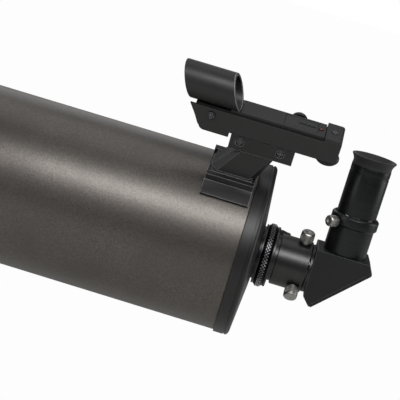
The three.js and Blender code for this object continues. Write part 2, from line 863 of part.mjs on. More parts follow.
// The shoe sits on the tube with two curved wings, and its rails are undercut to hold the finder's foot.
function shoeBody() {
  const end = shoe.front + shoe.length;
  const [cutStart, cutEnd] = [shoe.front - past, end + past];
  const seat = tube.radius + fit;
  const spread = radians(shoe.wingAngle);
  const wedgeReach = 2 * tube.radius;
  const [wedgeY, wedgeZ] = [Math.sin(spread) * wedgeReach, Math.cos(spread) * wedgeReach];
  const wedge = runner([[0, 0], [-wedgeY, wedgeZ], [wedgeY, wedgeZ]], cutStart, cutEnd);
  const wings = tubeBlank(seat + shoe.wing, shoe.front, end).intersect(wedge);
  const inner = shoeInner();
  const railFoot = tube.radius * Math.cos(spread);
  const rails = runner([
    [-shoe.halfWidth, railFoot],
    [-shoe.halfWidth, shoeTop],
    [shoe.halfWidth, shoeTop],
    [shoe.halfWidth, railFoot],
  ], shoe.front, end);
  const mouth = inner - shoe.undercut;
  const channelTop = shoeTop + shoe.height;
  const channel = runner([
    [-inner - shoe.flare, shoeFloor],
    [inner + shoe.flare, shoeFloor],
    [mouth, shoeTop],
    [mouth, channelTop],
    [-mouth, channelTop],
    [-mouth, shoeTop],
  ], cutStart, cutEnd);
  let body = wings.add(rails).subtract(channel).subtract(tubeBlank(seat, cutStart, cutEnd));
  for (const x of shoeScrewStations()) {
    const hole = pinGeometry(shoeScrew.shank + threadFit, tubeBore, channelTop);
    const sink = pinGeometry(shoeScrew.head + fit, shoeFloor - shoeScrew.headHeight - fit, channelTop);
    body = body.subtract(solid(hole.translate(x, 0, 0))).subtract(solid(sink.translate(x, 0, 0)));
  }
  const headStart = shoe.halfWidth + shoeThumb.stand;
  const headEnd = headStart + shoeThumb.headLength + past;
  body = body.subtract(shoeThumbPin(shoeThumb.head + fit, headStart - fit, headEnd));
  return body.subtract(shoeThumbPin(shoeThumb.shank + threadFit, mouth - past, headStart));
}

function shoeInner() {
  return shoe.halfWidth - shoe.rail;
}

function shoeScrewBody(x) {
  const top = shoeFloor - seatGap;
  const head = pinGeometry(shoeScrew.head, top - shoeScrew.headHeight + fit, top);
  const shank = pinGeometry(shoeScrew.shank, tubeBore - shoeScrew.bite, top);
  return solid(head.translate(x, 0, 0)).add(solid(shank.translate(x, 0, 0)));
}

function shoeThumbPin(radius, from, to) {
  return crossPin(radius, from, to, shoeThumb.station, shoeTop - shoeThumb.drop);
}

function shoeThumbBody() {
  const headStart = shoe.halfWidth + shoeThumb.stand;
  const shank = shoeThumbPin(shoeThumb.shank, shoeInner() - fit / 2, headStart + past);
  return shank.add(shoeThumbPin(shoeThumb.head, headStart, headStart + shoeThumb.headLength));
}

// A prism between a lower and an upper outline that have the same number of points.
function loft(lower, upper, z0, z1) {
  const count = lower.length;
  const positions = [...lower.map(([x, y]) => [x, y, z0]), ...upper.map(([x, y]) => [x, y, z1])].flat();
  const index = [];
  for (let i = 0; i < count; i += 1) {
    const next = (i + 1) % count;
    index.push(i, next, count + i, next, count + next, count + i);
  }
  for (let i = 1; i < count - 1; i += 1) {
    index.push(0, i + 1, i, count, count + i, count + i + 1);
  }
  const geometry = new THREE.BufferGeometry();
  geometry.setAttribute('position', new THREE.Float32BufferAttribute(positions, 3));
  geometry.setIndex(index);
  return solid(geometry);
}

function cutRectangle(front, length, halfWidth, corner) {
  const end = front + length;
  return [
    [front + corner, -halfWidth],
    [end - corner, -halfWidth],
    [end, -halfWidth + corner],
    [end, halfWidth - corner],
    [end - corner, halfWidth],
    [front + corner, halfWidth],
    [front, halfWidth - corner],
    [front, -halfWidth + corner],
  ];
}

// The finder's base: a dovetail foot in the shoe, a raked pedestal, and the block that the cradle turns on.
function finderBase() {
  const footFront = shoe.front + (shoe.length - foot.length) / 2;
  const wide = shoeInner() - fit;
  const narrow = wide - shoe.undercut;
  const stemBase = shoeTop + fit;
  const dovetail = runner([
    [-wide, shoeFloor + fit],
    [-narrow, stemBase],
    [narrow, stemBase],
    [wide, shoeFloor + fit],
  ], footFront, footFront + foot.length);
  const stem = loft(
    cutRectangle(pedestal.front, pedestal.length, pedestal.halfWidth, pedestal.corner),
    cutRectangle(pedestal.topFront, pedestal.topLength, pedestal.topHalfWidth, pedestal.corner / 2),
    stemBase,
    pedestalTop + past,
  );
  const { front, length, halfWidth } = block;
  let body = box(front, front + length, -halfWidth, halfWidth, pedestalTop, blockTop);
  body = body.add(stem).add(dovetail);
  for (const along of blockScrews) {
    body = body.subtract(blockPin(block.screwRadius, -halfWidth - past, blockScrewSeat(), along));
  }
  const { screw, reach, station } = azimuthKnob;
  body = body.subtract(blockPin(screw + threadFit, halfWidth - reach - past, halfWidth + past, station));
  const socket = pinGeometry(azimuthPin.radius + fit, blockTop - azimuthPin.height - fit, blockTop + past);
  return body.subtract(solid(socket.translate(azimuthPin.station, 0, 0)));
}

// A pin across the block, as far along it from its front as asked.
function blockPin(radius, from, to, along) {
  return crossPin(radius, from, to, block.front + along, pedestalTop + block.screwLevel);
}

function blockScrewSeat() {
  return -block.halfWidth + block.screwSunk;
}

function blockScrewBody(along) {
  const seat = blockScrewSeat();
  return blockPin(block.screwRadius - fit, seat - block.screwHead, seat - seatGap, along);
}

function azimuthKnobBody() {
  const start = block.halfWidth + fit;
  const grip = blockPin(azimuthKnob.radius, start, start + azimuthKnob.thickness, azimuthKnob.station);
  const screwEnd = block.halfWidth - azimuthKnob.reach;
  return grip.add(blockPin(azimuthKnob.screw, screwEnd, start + past, azimuthKnob.station));
}

// The cradle is a trough that carries the sight arm. Its nose is undercut and a chin hangs under it.
function cradleBody() {
  const rearTop = cradleRim + cradle.tailRise;
  const step = cradleEnd - cradle.tailLength;
  const { front, halfWidth, nose: noseLength, rounding } = cradle;
  const side = [
    [front, cradleRim],
    [front + cradle.noseBreak, cradleRim - cradle.height / 2, rounding],
    [front + noseLength, cradleBase],
    [cradleEnd, cradleBase, rounding],
    [cradleEnd, rearTop, rounding],
    [step, rearTop],
    [step, cradleRim],
  ];
  const chinFront = front + chin.inset;
  const chinOutline = [
    [chinFront, cradleBase + past],
    [chinFront + chin.lean, cradleBase - chin.height, rounding],
    [chinFront + chin.length, cradleBase - chin.height],
    [chinFront + chin.length, cradleBase + past],
  ];
  let body = plate(side, -halfWidth, halfWidth).add(plate(chinOutline, -halfWidth, halfWidth));
  const inner = halfWidth - cradle.wall;
  const floor = cradleBase + cradle.floor;
  body = body.subtract(box(front - past, step, -inner, inner, floor, rearTop + past));
  body = body.subtract(box(step - past, cradleEnd - cradle.endWall, -inner, inner, floor, cradleRim + past));
  body = body.subtract(pivotShank(pivot.radius + fit, -halfWidth - past, halfWidth + past));
  body = body.subtract(dimmerPin(dimmer.spindle + fit, inner - past, halfWidth + past));
  body = body.subtract(altitudePin(altitudeWheel.screw + threadFit, cradleBase - past, floor + past));
  const azimuth = pinGeometry(azimuthPin.radius, blockTop - azimuthPin.height, cradleBase + past);
  return body.add(solid(azimuth.translate(azimuthPin.station, 0, 0)));
}

function pivotShank(radius, from, to) {
  return crossPin(radius, from, to, pivotX, pivotZ);
}

function dimmerPin(radius, from, to, steps = smallFacets) {
  return crossPin(radius, from, to, dimmer.station, cradleRim - dimmer.drop, steps);
}

function altitudePin(radius, from, to) {
  return solid(pinGeometry(radius, from, to).translate(altitudeWheel.station, 0, 0));
}

// The sight arm lies in the cradle, hinged near its nose, and its tail is lifted by the altitude screw.
function armBody() {
  const { front, frontLift } = arm;
  const armEnd = cradleEnd - cradle.tailLength - arm.endGap;
  const tailEnd = cradleEnd - cradle.endWall - arm.tailGap;
  const tailTop = cradleRim - arm.tailDrop;
  const side = [
    [front, armBase + frontLift],
    [front + frontLift, armBase],
    [tailEnd, armBase],
    [tailEnd, tailTop],
    [armEnd, tailTop],
    [armEnd, armTop],
    [front, armTop],
  ];
  let body = plate(side, -armHalf, armHalf);
  const seat = turned(ringProfile(-cradle.length, 0, sightTube.radius + fit), sightTube.facets);
  body = body.subtract(seat.translate([sightTubeTail(), 0, sightTubeZ()]));
  const deckEnd = sightTubeTail() - arm.deckEnd;
  const cutWidth = armHalf + past;
  body = body.subtract(box(front - past, deckEnd, -cutWidth, cutWidth, armTop - arm.deckDrop, armTop + past));
  body = body.subtract(pivotShank(pivot.radius + fit, -cutWidth, cutWidth));
  const { start, length } = batteryDoor;
  const doorSeat = armTop - batteryDoor.thickness;
  body = body.subtract(box(start, start + length, -doorHalf, doorHalf, doorSeat, armTop + past));
  const wellFloor = doorSeat - battery.thickness - 2 * fit;
  const well = pinGeometry(battery.radius + fit, wellFloor, doorSeat + past, battery.facets);
  body = body.subtract(solid(well.translate(start + length / 2, 0, 0)));
  body = body.subtract(altitudePin(altitudeWheel.screw + threadFit, armBase - past, tailTop + past));
  return body.subtract(lampPin(lamp.radius + fit, -lamp.height, lamp.height));
}

function sightTubeZ() {
  return armTop + sightTube.radius - sightTube.sink;
}

function sightTubeTail() {
  return sightTube.start + sightTube.length + Math.tan(radians(sightTube.slant)) * sightTube.radius;
}

// A pin that leans forwards, so that the lamp in it shines at the sight lens.
function lampPin(radius, from, to) {
  const geometry = pinGeometry(radius, from, to);
  geometry.rotateY(-radians(90 - lamp.tilt));
  geometry.translate(lamp.station, 0, armTop);
  return solid(geometry);
}

function pivotPin() {
  const reach = cradle.halfWidth + fit;
  const head = pivotShank(pivot.head, -reach - pivot.headHeight, -reach);
  return head.add(pivotShank(pivot.radius, -reach, cradle.halfWidth - fit));
}

// Both ends of the sight tube are cut on the same slant, with their tops further forward.
function slantedBar(radius, from, to) {
  const shear = Math.tan(radians(sightTube.slant));
  const geometry = new THREE.CylinderGeometry(radius, radius, to - from, sightTube.facets);
  geometry.rotateZ(-Math.PI / 2);
  geometry.translate((from + to) / 2, 0, 0);
  const position = geometry.attributes.position;
  for (let i = 0; i < position.count; i += 1) {
    position.setX(i, position.getX(i) - shear * position.getZ(i));
  }
  geometry.translate(0, 0, sightTubeZ());
  return solid(geometry);
}

function sightTubeBody() {
  const { start, length, radius, bore } = sightTube;
  const hole = slantedBar(bore, start - past, start + length + past);
  return slantedBar(radius, start, start + length).subtract(hole);
}

function sightLensBody() {
  const from = sightTube.start + sightLens.inset;
  return slantedBar(sightTube.bore - fit, from, from + sightLens.thickness);
}

function batteryDoorBody() {
  const { start, length, thickness } = batteryDoor;
  const half = doorHalf - fit;
  const cover = box(start + fit, start + length - fit, -half, half, armTop - thickness + fit, armTop);
  const slotX = start + doorSlot.start;
  const slotHalf = doorSlot.width / 2;
  const slotFloor = armTop - doorSlot.depth;
  const slot = box(slotX, slotX + doorSlot.length, -slotHalf, slotHalf, slotFloor, armTop + past);
  return cover.subtract(slot);
}

function coinCell() {
  const top = armTop - batteryDoor.thickness - fit;
  const geometry = pinGeometry(battery.radius, top - battery.thickness, top, battery.facets);
  return solid(geometry.translate(batteryDoor.start + batteryDoor.length / 2, 0, 0));
}

function altitudeWheelBody() {
  const top = cradleBase - fit;
  const bottom = top - altitudeWheel.thickness;
  const { radius, chamfer, screw, station } = altitudeWheel;
  const stemTop = armBase + altitudeWheel.bite;
  return turnedUp([
    [bottom, 0],
    [bottom, radius - chamfer],
    [bottom + chamfer, radius],
    [top - chamfer / 2, radius],
    [top, radius - chamfer / 2],
    [top, screw],
    [stemTop, screw],
    [stemTop, 0],
  ], station, 0, facets);
}

function dimmerBody() {
  const start = cradle.halfWidth + fit;
  const dial = dimmerPin(dimmer.radius, start, start + dimmer.thickness, facets);
  return dial.add(dimmerPin(dimmer.spindle, start - dimmer.spindleReach, start + past));
}

// Dovetail pieces, on the far side of the tube.
function barScrewStations() {
  return saddleStarts().map((start) => start + saddle.length / 2);
}

function saddleStarts() {
  return [bar.start + saddle.inset, bar.start + bar.length - saddle.inset - saddle.length];
}

function saddleBody(start) {
  const end = start + saddle.length;
  const blank = box(start, end, tube.radius / 2, saddleTop - seatGap, -saddle.halfWidth, saddle.halfWidth);
  const body = blank.subtract(tubeBlank(tube.radius + fit, start - past, end + past));
  const middle = start + saddle.length / 2;
  return body.subtract(crossPin(barScrew.shank + threadFit, tubeBore, saddleTop + past, middle, 0));
}

function dovetailBar() {
  const narrow = bar.halfWidth - bar.thickness * Math.tan(radians(bar.flank));
  const outline = [
    [saddleTop, -narrow],
    [barFace, -bar.halfWidth, bar.edge],
    [barFace, bar.halfWidth, bar.edge],
    [saddleTop, narrow],
  ];
  let body = runner(outline, bar.start, bar.start + bar.length, 2);
  for (const x of barScrewStations()) {
    body = body.subtract(crossPin(barScrew.shank + threadFit, saddleTop - past, barFace + past, x, 0));
    body = body.subtract(crossPin(barScrew.head + fit, barScrewSeat(), barFace + past, x, 0));
  }
  return body;
}

function barScrewSeat() {
  return barFace - barScrew.headHeight - barScrew.sunk;
}

function barScrewBody(x) {
  const seat = barScrewSeat() + seatGap;
  const top = seat + barScrew.headHeight;
  const head = crossPin(barScrew.head, seat, top, x, 0);
  const shank = crossPin(barScrew.shank, tubeBore - barScrew.bite, seat + past, x, 0);
  const socket = crossPin(barScrew.socket, top - barScrew.socketDepth, top + past, x, 0, 6);
  return head.add(shank).subtract(socket);
}

function finish(color, roughness, metalness) {
  return { color, roughness, metalness };
}

const bronzePaint = finish(0x5c564f, 0.38, 0.55);
const blackPaint = finish(0x1d1d1f, 0.45, 0.2);
const blackAnodised = finish(0x26272a, 0.35, 0.7);
const chrome = finish(0xc9ccd0, 0.18, 1);
const steel = finish(0x9a9da1, 0.35, 1);
const blackPlastic = finish(0x1e1f22, 0.5, 0);
const finderPlastic = finish(0x2e2e2e, 0.5, 0);
const rubber = finish(0x18181a, 0.85, 0);
const glass = finish(0xbfd0d6, 0.05, 0);
const mirror = finish(0xe6e9ec, 0.03, 1);
const barPaint = finish(0x232427, 0.45, 0.5);

const telescope = new THREE.Group();
const opticalTube = new THREE.Group();
const finder = new THREE.Group();
finder.rotation.x = radians(finderTurn);
telescope.add(opticalTube, finder);

function add(parent, name, body, look) {
  const mesh = body.getMesh();
  const geometry = new THREE.BufferGeometry();
  geometry.setAttribute('position', new THREE.Float32BufferAttribute(mesh.vertProperties, 3));
  geometry.setIndex(new THREE.Uint32BufferAttribute(mesh.triVerts, 1));
  geometry.computeVertexNormals();
  const part = new THREE.Mesh(geometry, new THREE.MeshStandardMaterial(look));
  part.name = name;
  parent.add(part);
}

add(opticalTube, 'main_tube', mainTube(), bronzePaint);
add(opticalTube, 'front_cell', frontCellBody(), blackPaint);
add(opticalTube, 'corrector_lens', correctorLens(), glass);
add(opticalTube, 'corrector_ring', correctorRingBody(), blackAnodised);
add(opticalTube, 'secondary_spot', secondarySpotBody(), mirror);
add(opticalTube, 'secondary_baffle', secondaryBaffleBody(), blackPaint);
add(opticalTube, 'rear_cell', rearCellBody(), blackPaint);
add(opticalTube, 'baffle_tube', baffleTubeBody(), blackPaint);
add(opticalTube, 'primary_mirror', primaryMirror(), mirror);
add(opticalTube, 'mirror_carrier', mirrorCarrier(), blackAnodised);
add(opticalTube, 'mirror_nut', mirrorNutBody(), blackAnodised);
add(opticalTube, 'focus_bush', focusBushBody(), blackAnodised);
add(opticalTube, 'focus_rod', focusRodBody(), steel);
add(opticalTube, 'focus_knob', focusKnobBody(), rubber);
add(opticalTube, 'rear_port', rearPort(), blackAnodised);
add(opticalTube, 'coupling_ring', couplingRing(), blackAnodised);
add(opticalTube, 'visual_back', visualBackBody(), blackAnodised);
visualScrews.angles.forEach((angle, i) => {
  add(opticalTube, `visual_back_screw_${i + 1}`, visualScrewBody(angle), chrome);
});
add(opticalTube, 'diagonal_nose', diagonalNose(), chrome);
add(opticalTube, 'diagonal_housing', diagonalHousing(), blackPlastic);
add(opticalTube, 'diagonal_cover', diagonalCover(), blackPlastic);
add(opticalTube, 'cover_screw_lower', coverScrewBody(-1), chrome);
add(opticalTube, 'cover_screw_upper', coverScrewBody(1), chrome);
add(opticalTube, 'diagonal_prism', diagonalPrism(), glass);
add(opticalTube, 'prism_pad', prismPadBody(), rubber);
add(opticalTube, 'eyepiece_holder', eyepieceHolder(), blackAnodised);
add(opticalTube, 'diagonal_screw', diagonalScrewBody(), chrome);
add(opticalTube, 'eyepiece_barrel', eyepieceBarrel(), chrome);
add(opticalTube, 'eyepiece_body', eyepieceBody(), blackAnodised);
const fieldLensBody = biconvex(holderTop + fieldLens.height, barrelBore - fieldLens.gap, fieldLens);
add(opticalTube, 'field_lens', fieldLensBody, glass);
add(opticalTube, 'eye_lens', biconvex(eyepieceTop - eyeLens.drop, eyeLens.radius, eyeLens), glass);
add(opticalTube, 'eyecup', eyecupBody(), rubber);
add(opticalTube, 'dovetail_bar', dovetailBar(), barPaint);
saddleStarts().forEach((start, i) => {
  add(opticalTube, `dovetail_saddle_${i + 1}`, saddleBody(start), barPaint);
});
barScrewStations().forEach((x, i) => {
  add(opticalTube, `dovetail_screw_${i + 1}`, barScrewBody(x), steel);
});

add(finder, 'finder_shoe', shoeBody(), finderPlastic);
shoeScrewStations().forEach((x, i) => {
  add(finder, `shoe_screw_${i + 1}`, shoeScrewBody(x), steel);
});
add(finder, 'shoe_thumbscrew', shoeThumbBody(), chrome);
add(finder, 'finder_base', finderBase(), finderPlastic);
blockScrews.forEach((along, i) => {
  add(finder, `base_screw_${i + 1}`, blockScrewBody(along), steel);
});
add(finder, 'azimuth_knob', azimuthKnobBody(), blackPlastic);
add(finder, 'finder_cradle', cradleBody(), finderPlastic);
add(finder, 'cradle_pivot', pivotPin(), steel);
add(finder, 'altitude_wheel', altitudeWheelBody(), blackPlastic);
add(finder, 'dimmer_dial', dimmerBody(), blackPlastic);
add(finder, 'sight_arm', armBody(), finderPlastic);
add(finder, 'sight_tube', sightTubeBody(), finderPlastic);
add(finder, 'sight_lens', sightLensBody(), glass);
add(finder, 'sight_lamp', lampPin(lamp.radius, fit - lamp.height, lamp.tip), glass);
add(finder, 'battery_door', batteryDoorBody(), blackPlastic);
add(finder, 'battery', coinCell(), steel);

telescope.position.set(-(bar.start + bar.length / 2), -barFace, 0);

export default telescope;
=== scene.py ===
"""A maksutov telescope: a closed bronze-grey tube with black cells, a visual back with a right-angle
diagonal and an eyepiece, and a red dot finder on its shoe. The sections follow its assembly."""
import math

import bmesh
import bpy
from mathutils import Matrix, Vector


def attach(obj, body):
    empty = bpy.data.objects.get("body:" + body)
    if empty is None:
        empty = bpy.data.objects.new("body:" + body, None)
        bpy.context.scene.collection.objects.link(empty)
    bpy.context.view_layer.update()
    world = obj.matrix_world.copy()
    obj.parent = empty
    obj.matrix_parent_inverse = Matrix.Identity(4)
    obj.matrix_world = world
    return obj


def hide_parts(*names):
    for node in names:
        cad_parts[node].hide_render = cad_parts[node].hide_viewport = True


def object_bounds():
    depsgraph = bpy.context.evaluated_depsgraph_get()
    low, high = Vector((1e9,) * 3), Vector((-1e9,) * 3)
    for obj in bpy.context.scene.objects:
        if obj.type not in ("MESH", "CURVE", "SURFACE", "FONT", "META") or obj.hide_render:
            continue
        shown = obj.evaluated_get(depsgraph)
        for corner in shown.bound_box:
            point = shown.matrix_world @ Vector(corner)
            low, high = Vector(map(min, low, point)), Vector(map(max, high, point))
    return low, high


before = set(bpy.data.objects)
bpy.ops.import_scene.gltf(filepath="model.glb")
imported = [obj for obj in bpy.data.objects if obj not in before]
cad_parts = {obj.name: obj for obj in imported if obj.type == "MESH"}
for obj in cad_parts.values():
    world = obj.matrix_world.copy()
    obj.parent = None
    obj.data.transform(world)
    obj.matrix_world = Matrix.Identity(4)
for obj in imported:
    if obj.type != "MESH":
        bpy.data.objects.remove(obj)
cad_low, cad_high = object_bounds()

# The place where the telescope is shown: a matt white paper floor well below it, a white backdrop, and
# plain softboxes: a long one in front that lays a streak along the tube, and weaker ones round about.


def colour(code):
    """An sRGB hex colour as linear red, green, blue and alpha."""
    parts = [int(code[i : i + 2], 16) / 255 for i in (0, 2, 4)]
    return (*[c / 12.92 if c <= 0.04045 else ((c + 0.055) / 1.055) ** 2.4 for c in parts], 1.0)


def add(tree, kind, inputs=None, **settings):
    """Adds a node with its settings, and gives its inputs values or links, by name or by number."""
    node = tree.nodes.new(kind)
    for name, value in settings.items():
        setattr(node, name, value)
    for key, value in (inputs or {}).items():
        sockets = [s for i, s in enumerate(node.inputs) if key == i or (key == s.name and s.enabled)]
        if isinstance(value, bpy.types.NodeSocket):
            tree.links.new(value, sockets[0])
        else:
            sockets[0].default_value = value
    return node


def start_material(name, **finish):
    """A new material with a Principled shader, and the coordinates that its patterns are laid on."""
    material = bpy.data.materials.new(name)
    material.use_nodes = True
    tree = material.node_tree
    tree.nodes.clear()
    shader = add(tree, "ShaderNodeBsdfPrincipled", {k.replace("_", " "): v for k, v in finish.items()})
    add(tree, "ShaderNodeOutputMaterial", {"Surface": shader.outputs["BSDF"]})
    place = add(tree, "ShaderNodeTexCoord").outputs["Object"]
    return material, tree, shader, place


def vary(tree, shader, pattern, tones=(), roughness=(), relief=()):
    """Lets a pattern vary a finish: its two tones, its roughness, and its relief's strength and height."""
    if tones:
        ramp = add(tree, "ShaderNodeValToRGB", {"Fac": pattern.outputs[0]})
        for stop, code in zip(ramp.color_ramp.elements, tones):
            stop.color = colour(code)
        tree.links.new(ramp.outputs["Color"], shader.inputs["Base Color"])
    if roughness:
        least, most = roughness
        spread = {"Value": pattern.outputs[0], "To Min": least, "To Max": most}
        tree.links.new(add(tree, "ShaderNodeMapRange", spread).outputs[0], shader.inputs["Roughness"])
    if relief:
        strength, height = relief
        raised = {"Height": pattern.outputs[0], "Strength": strength, "Distance": height}
        tree.links.new(add(tree, "ShaderNodeBump", raised).outputs["Normal"], shader.inputs["Normal"])


def make_object(name, mesh, material):
    piece = bpy.data.objects.new(name, mesh)
    bpy.context.scene.collection.objects.link(piece)
    mesh.materials.clear()
    mesh.materials.append(material)
    return piece


def softbox(name, place, target, width, height, power):
    light = bpy.data.lights.new(name, "AREA")
    light.shape = "RECTANGLE"
    light.size = width
    light.size_y = height
    light.energy = power
    lamp = bpy.data.objects.new(name, light)
    bpy.context.scene.collection.objects.link(lamp)
    lamp.location = place
    lamp.rotation_euler = (Vector(target) - Vector(place)).to_track_quat("-Z", "Y").to_euler()


paper, tree, shader, place = start_material("white_paper_floor", Base_Color=colour("C9C8C6"), Roughness=0.9)
fibres = add(tree, "ShaderNodeTexNoise", {"Vector": place, "Scale": 400.0, "Detail": 3.0})
vary(tree, shader, fibres, relief=(0.05, 0.0003))
bleached = add(tree, "ShaderNodeEmission", {"Color": colour("FDFDFD"), "Strength": 1.0})
looked_at = add(tree, "ShaderNodeLightPath").outputs["Is Camera Ray"]
paper_look = add(tree, "ShaderNodeMixShader", {0: looked_at, 1: shader.outputs[0], 2: bleached.outputs[0]})
add(tree, "ShaderNodeOutputMaterial", {"Surface": paper_look.outputs[0]}).is_active_output = True
FLOOR_DROP = 0.22
FLOOR_REACH = 14.0
floor_mesh = bpy.data.meshes.new("floor")
ground = cad_low.z - FLOOR_DROP
signs = [(-1, -1), (1, -1), (1, 1), (-1, 1)]
floor_mesh.from_pydata([(a * FLOOR_REACH, b * FLOOR_REACH, ground) for a, b in signs], [], [(0, 1, 2, 3)])
floor = make_object("floor", floor_mesh, paper)

world = bpy.data.worlds.new("white_surround")
world.use_nodes = True
bpy.context.scene.world = world
sky = world.node_tree
sky.nodes.clear()
seen = add(sky, "ShaderNodeLightPath").outputs["Is Camera Ray"]
surround = add(sky, "ShaderNodeBackground", {"Color": colour("F2F3F5"), "Strength": 0.08})
backdrop = add(sky, "ShaderNodeBackground", {"Color": colour("FFFFFF"), "Strength": 1.0})
either = add(sky, "ShaderNodeMixShader", {0: seen, 1: surround.outputs[0], 2: backdrop.outputs[0]})
add(sky, "ShaderNodeOutputWorld", {"Surface": either.outputs[0]})

middle = (cad_low + cad_high) / 2
softbox("softbox_front", (0.25, -1.38, 1.18), middle, 1.6, 0.56, 20)
softbox("softbox_overhead", (0.10, 0.30, 1.60), middle, 2.2, 1.2, 6)
softbox("softbox_left", (-1.30, -1.00, 0.60), middle, 0.5, 1.3, 9)
softbox("softbox_right", (1.60, 0.20, 0.45), middle, 0.9, 1.2, 7)
softbox("softbox_back", (-0.60, 1.70, 0.90), middle, 1.6, 1.2, 4)

# The view is from the near side and 12 degrees above, rolled so that the tube points up to the left, and
# through a long lens.
camera_data = bpy.data.cameras.new("camera")
camera_data.lens = 109.5
camera_data.sensor_width = 36.0
camera_data.clip_start = 0.05
camera = bpy.data.objects.new("camera", camera_data)
right = Vector((0.9560, 0.0985, 0.2762))
up = Vector((-0.2905, 0.1891, 0.9380))
facing = Matrix((right, up, right.cross(up))).transposed().to_4x4()
camera.matrix_world = Matrix.Translation((0.130, -1.092, 0.2437)) @ facing
bpy.context.scene.collection.objects.link(camera)
bpy.context.scene.camera = camera
bpy.context.scene.view_settings.view_transform = "Standard"

# Main tube: a seamless rolled aluminium tube, sprayed with a metallic bronze-grey lacquer under a clear
# coat. Sizes are in millimetres about the optical axis, with x = 0 where the tube meets the rear cell.
PLACE = Matrix.Scale(0.001, 4) @ Matrix.Translation((131.0, -90.0, 0.0))


def start_tree(name, **sizes):
    """A Geometry Nodes tree with its named inputs: a body, a finish, and sizes of their own kind."""
    kinds = {bool: "NodeSocketBool", int: "NodeSocketInt", float: "NodeSocketFloat"}
    tree = bpy.data.node_groups.new(name, "GeometryNodeTree")
    tree.interface.new_socket("Body", in_out="INPUT", socket_type="NodeSocketGeometry")
    tree.interface.new_socket("Finish", in_out="INPUT", socket_type="NodeSocketMaterial")
    for label, value in sizes.items():
        socket = tree.interface.new_socket(label, in_out="INPUT", socket_type=kinds[type(value)])
        socket.default_value = value
    tree.interface.new_socket("Result", in_out="OUTPUT", socket_type="NodeSocketGeometry")
    return tree, add(tree, "NodeGroupInput").outputs


def end_tree(tree, given, geometry):
    real = add(tree, "GeometryNodeRealizeInstances", {"Geometry": geometry}).outputs[0]
    finished = add(tree, "GeometryNodeSetMaterial", {"Geometry": real, "Material": given["Finish"]})
    add(tree, "NodeGroupOutput", {"Result": finished.outputs[0]})


def grown(piece, tree, material, **sizes):
    """Runs a tree on a piece with these sizes, and makes the result its plain mesh."""
    modifier = piece.modifiers.new(tree.name, "NODES")
    modifier.node_group = tree
    for item in tree.interface.items_tree:
        if item.in_out == "INPUT" and item.name in sizes:
            modifier[item.identifier] = sizes[item.name]
        if item.in_out == "INPUT" and item.name == "Finish":
            modifier[item.identifier] = material
    return settled(piece, material)


def settled(piece, material):
    """Makes what a piece's modifiers give its plain mesh, and removes them."""
    bpy.context.view_layer.update()
    shown = piece.evaluated_get(bpy.context.evaluated_depsgraph_get())
    mesh = bpy.data.meshes.new_from_object(shown)
    piece.modifiers.clear()
    piece.data = mesh
    mesh.materials.clear()
    mesh.materials.append(material)
    return piece


def fitted(piece, body, slot, *nodes):
    """Says what a finished piece rides on and which CAD nodes it stands for. Its slot is not used."""
    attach(piece, body)
    if nodes:
        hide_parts(*nodes)
    return piece


# Aluminium flake lacquer: a warm grey base, fine bright flakes and a satin clear coat with a slight
# orange peel of 3 mm. Real flakes are 0.05 mm, drawn at 0.9 mm so that they show.
bronze, tree, shader, place = start_material(
    "bronze_grey_flake_lacquer", Metallic=0.82, Roughness=0.4, Coat_Weight=0.15, Coat_Roughness=0.2
)
flakes = add(tree, "ShaderNodeTexVoronoi", {"Vector": place, "Scale": 1100.0})
cloud = add(tree, "ShaderNodeTexNoise", {"Vector": place, "Scale": 28.0, "Detail": 2.0})
glint = add(tree, "ShaderNodeSeparateColor", {0: flakes.outputs["Color"]})
sparkle = add(tree, "ShaderNodeMath", {0: glint.outputs[0], 1: cloud.outputs[0]}, operation="MULTIPLY")
vary(tree, shader, sparkle, tones=("5D5955", "7B7671"))
peel = add(tree, "ShaderNodeTexNoise", {"Vector": place, "Scale": 320.0, "Detail": 1.0})
vary(tree, shader, peel, relief=(0.08, 0.0002))

# The wall's section is a rounded rectangle, swept round a circle and then laid along the axis.
wall_tree, given = start_tree("rolled_tube", Radius=72.7, Wall=1.6, Length=262.0, Edge=0.4, Steps=192)
half = add(wall_tree, "ShaderNodeMath", {0: given["Wall"], 1: 0.5}, operation="MULTIPLY").outputs[0]
line = add(wall_tree, "ShaderNodeMath", {0: given["Radius"], 1: half}, operation="SUBTRACT").outputs[0]
path = add(wall_tree, "GeometryNodeCurvePrimitiveCircle", {"Resolution": given["Steps"], "Radius": line})
section = add(
    wall_tree, "GeometryNodeCurvePrimitiveQuadrilateral", {"Width": given["Wall"], "Height": given["Length"]}
)
eased = add(
    wall_tree,
    "GeometryNodeFilletCurve",
    {"Curve": section.outputs[0], "Radius": given["Edge"], "Count": 3, "Limit Radius": True},
    mode="POLY",
)
swept = add(
    wall_tree, "GeometryNodeCurveToMesh", {"Curve": path.outputs[0], "Profile Curve": eased.outputs[0]}
)
back = add(wall_tree, "ShaderNodeMath", {0: given["Length"], 1: -0.5}, operation="MULTIPLY").outputs[0]
away = add(wall_tree, "ShaderNodeCombineXYZ", {"X": back})
laid = add(
    wall_tree,
    "GeometryNodeTransform",
    {"Geometry": swept.outputs[0], "Translation": away.outputs[0], "Rotation": (0.0, math.pi / 2, 0.0)},
)
end_tree(wall_tree, given, laid.outputs[0])
empty = bpy.data.meshes.new("main_tube_shell")
tube = grown(make_object("main_tube_shell", empty, bronze), wall_tree, bronze)
tube.data.transform(PLACE)
tube.data.shade_smooth()
tube.data.set_sharp_from_angle(angle=math.radians(40))
fitted(tube, "tube", "bronze_paint", "main_tube")

# Front cell: a turned aluminium casting in satin black paint, whose spigot is pressed into the tube. A
# thin threaded ring holds the meniscus lens against the cell's ledge from outside.


def bend(entry, corner, leave, steps):
    """Points of a smooth bend from one point to another, past a corner."""
    shares = [step / steps for step in range(steps + 1)]
    return [entry * (1 - t) ** 2 + corner * 2 * t * (1 - t) + leave * t * t for t in shares]


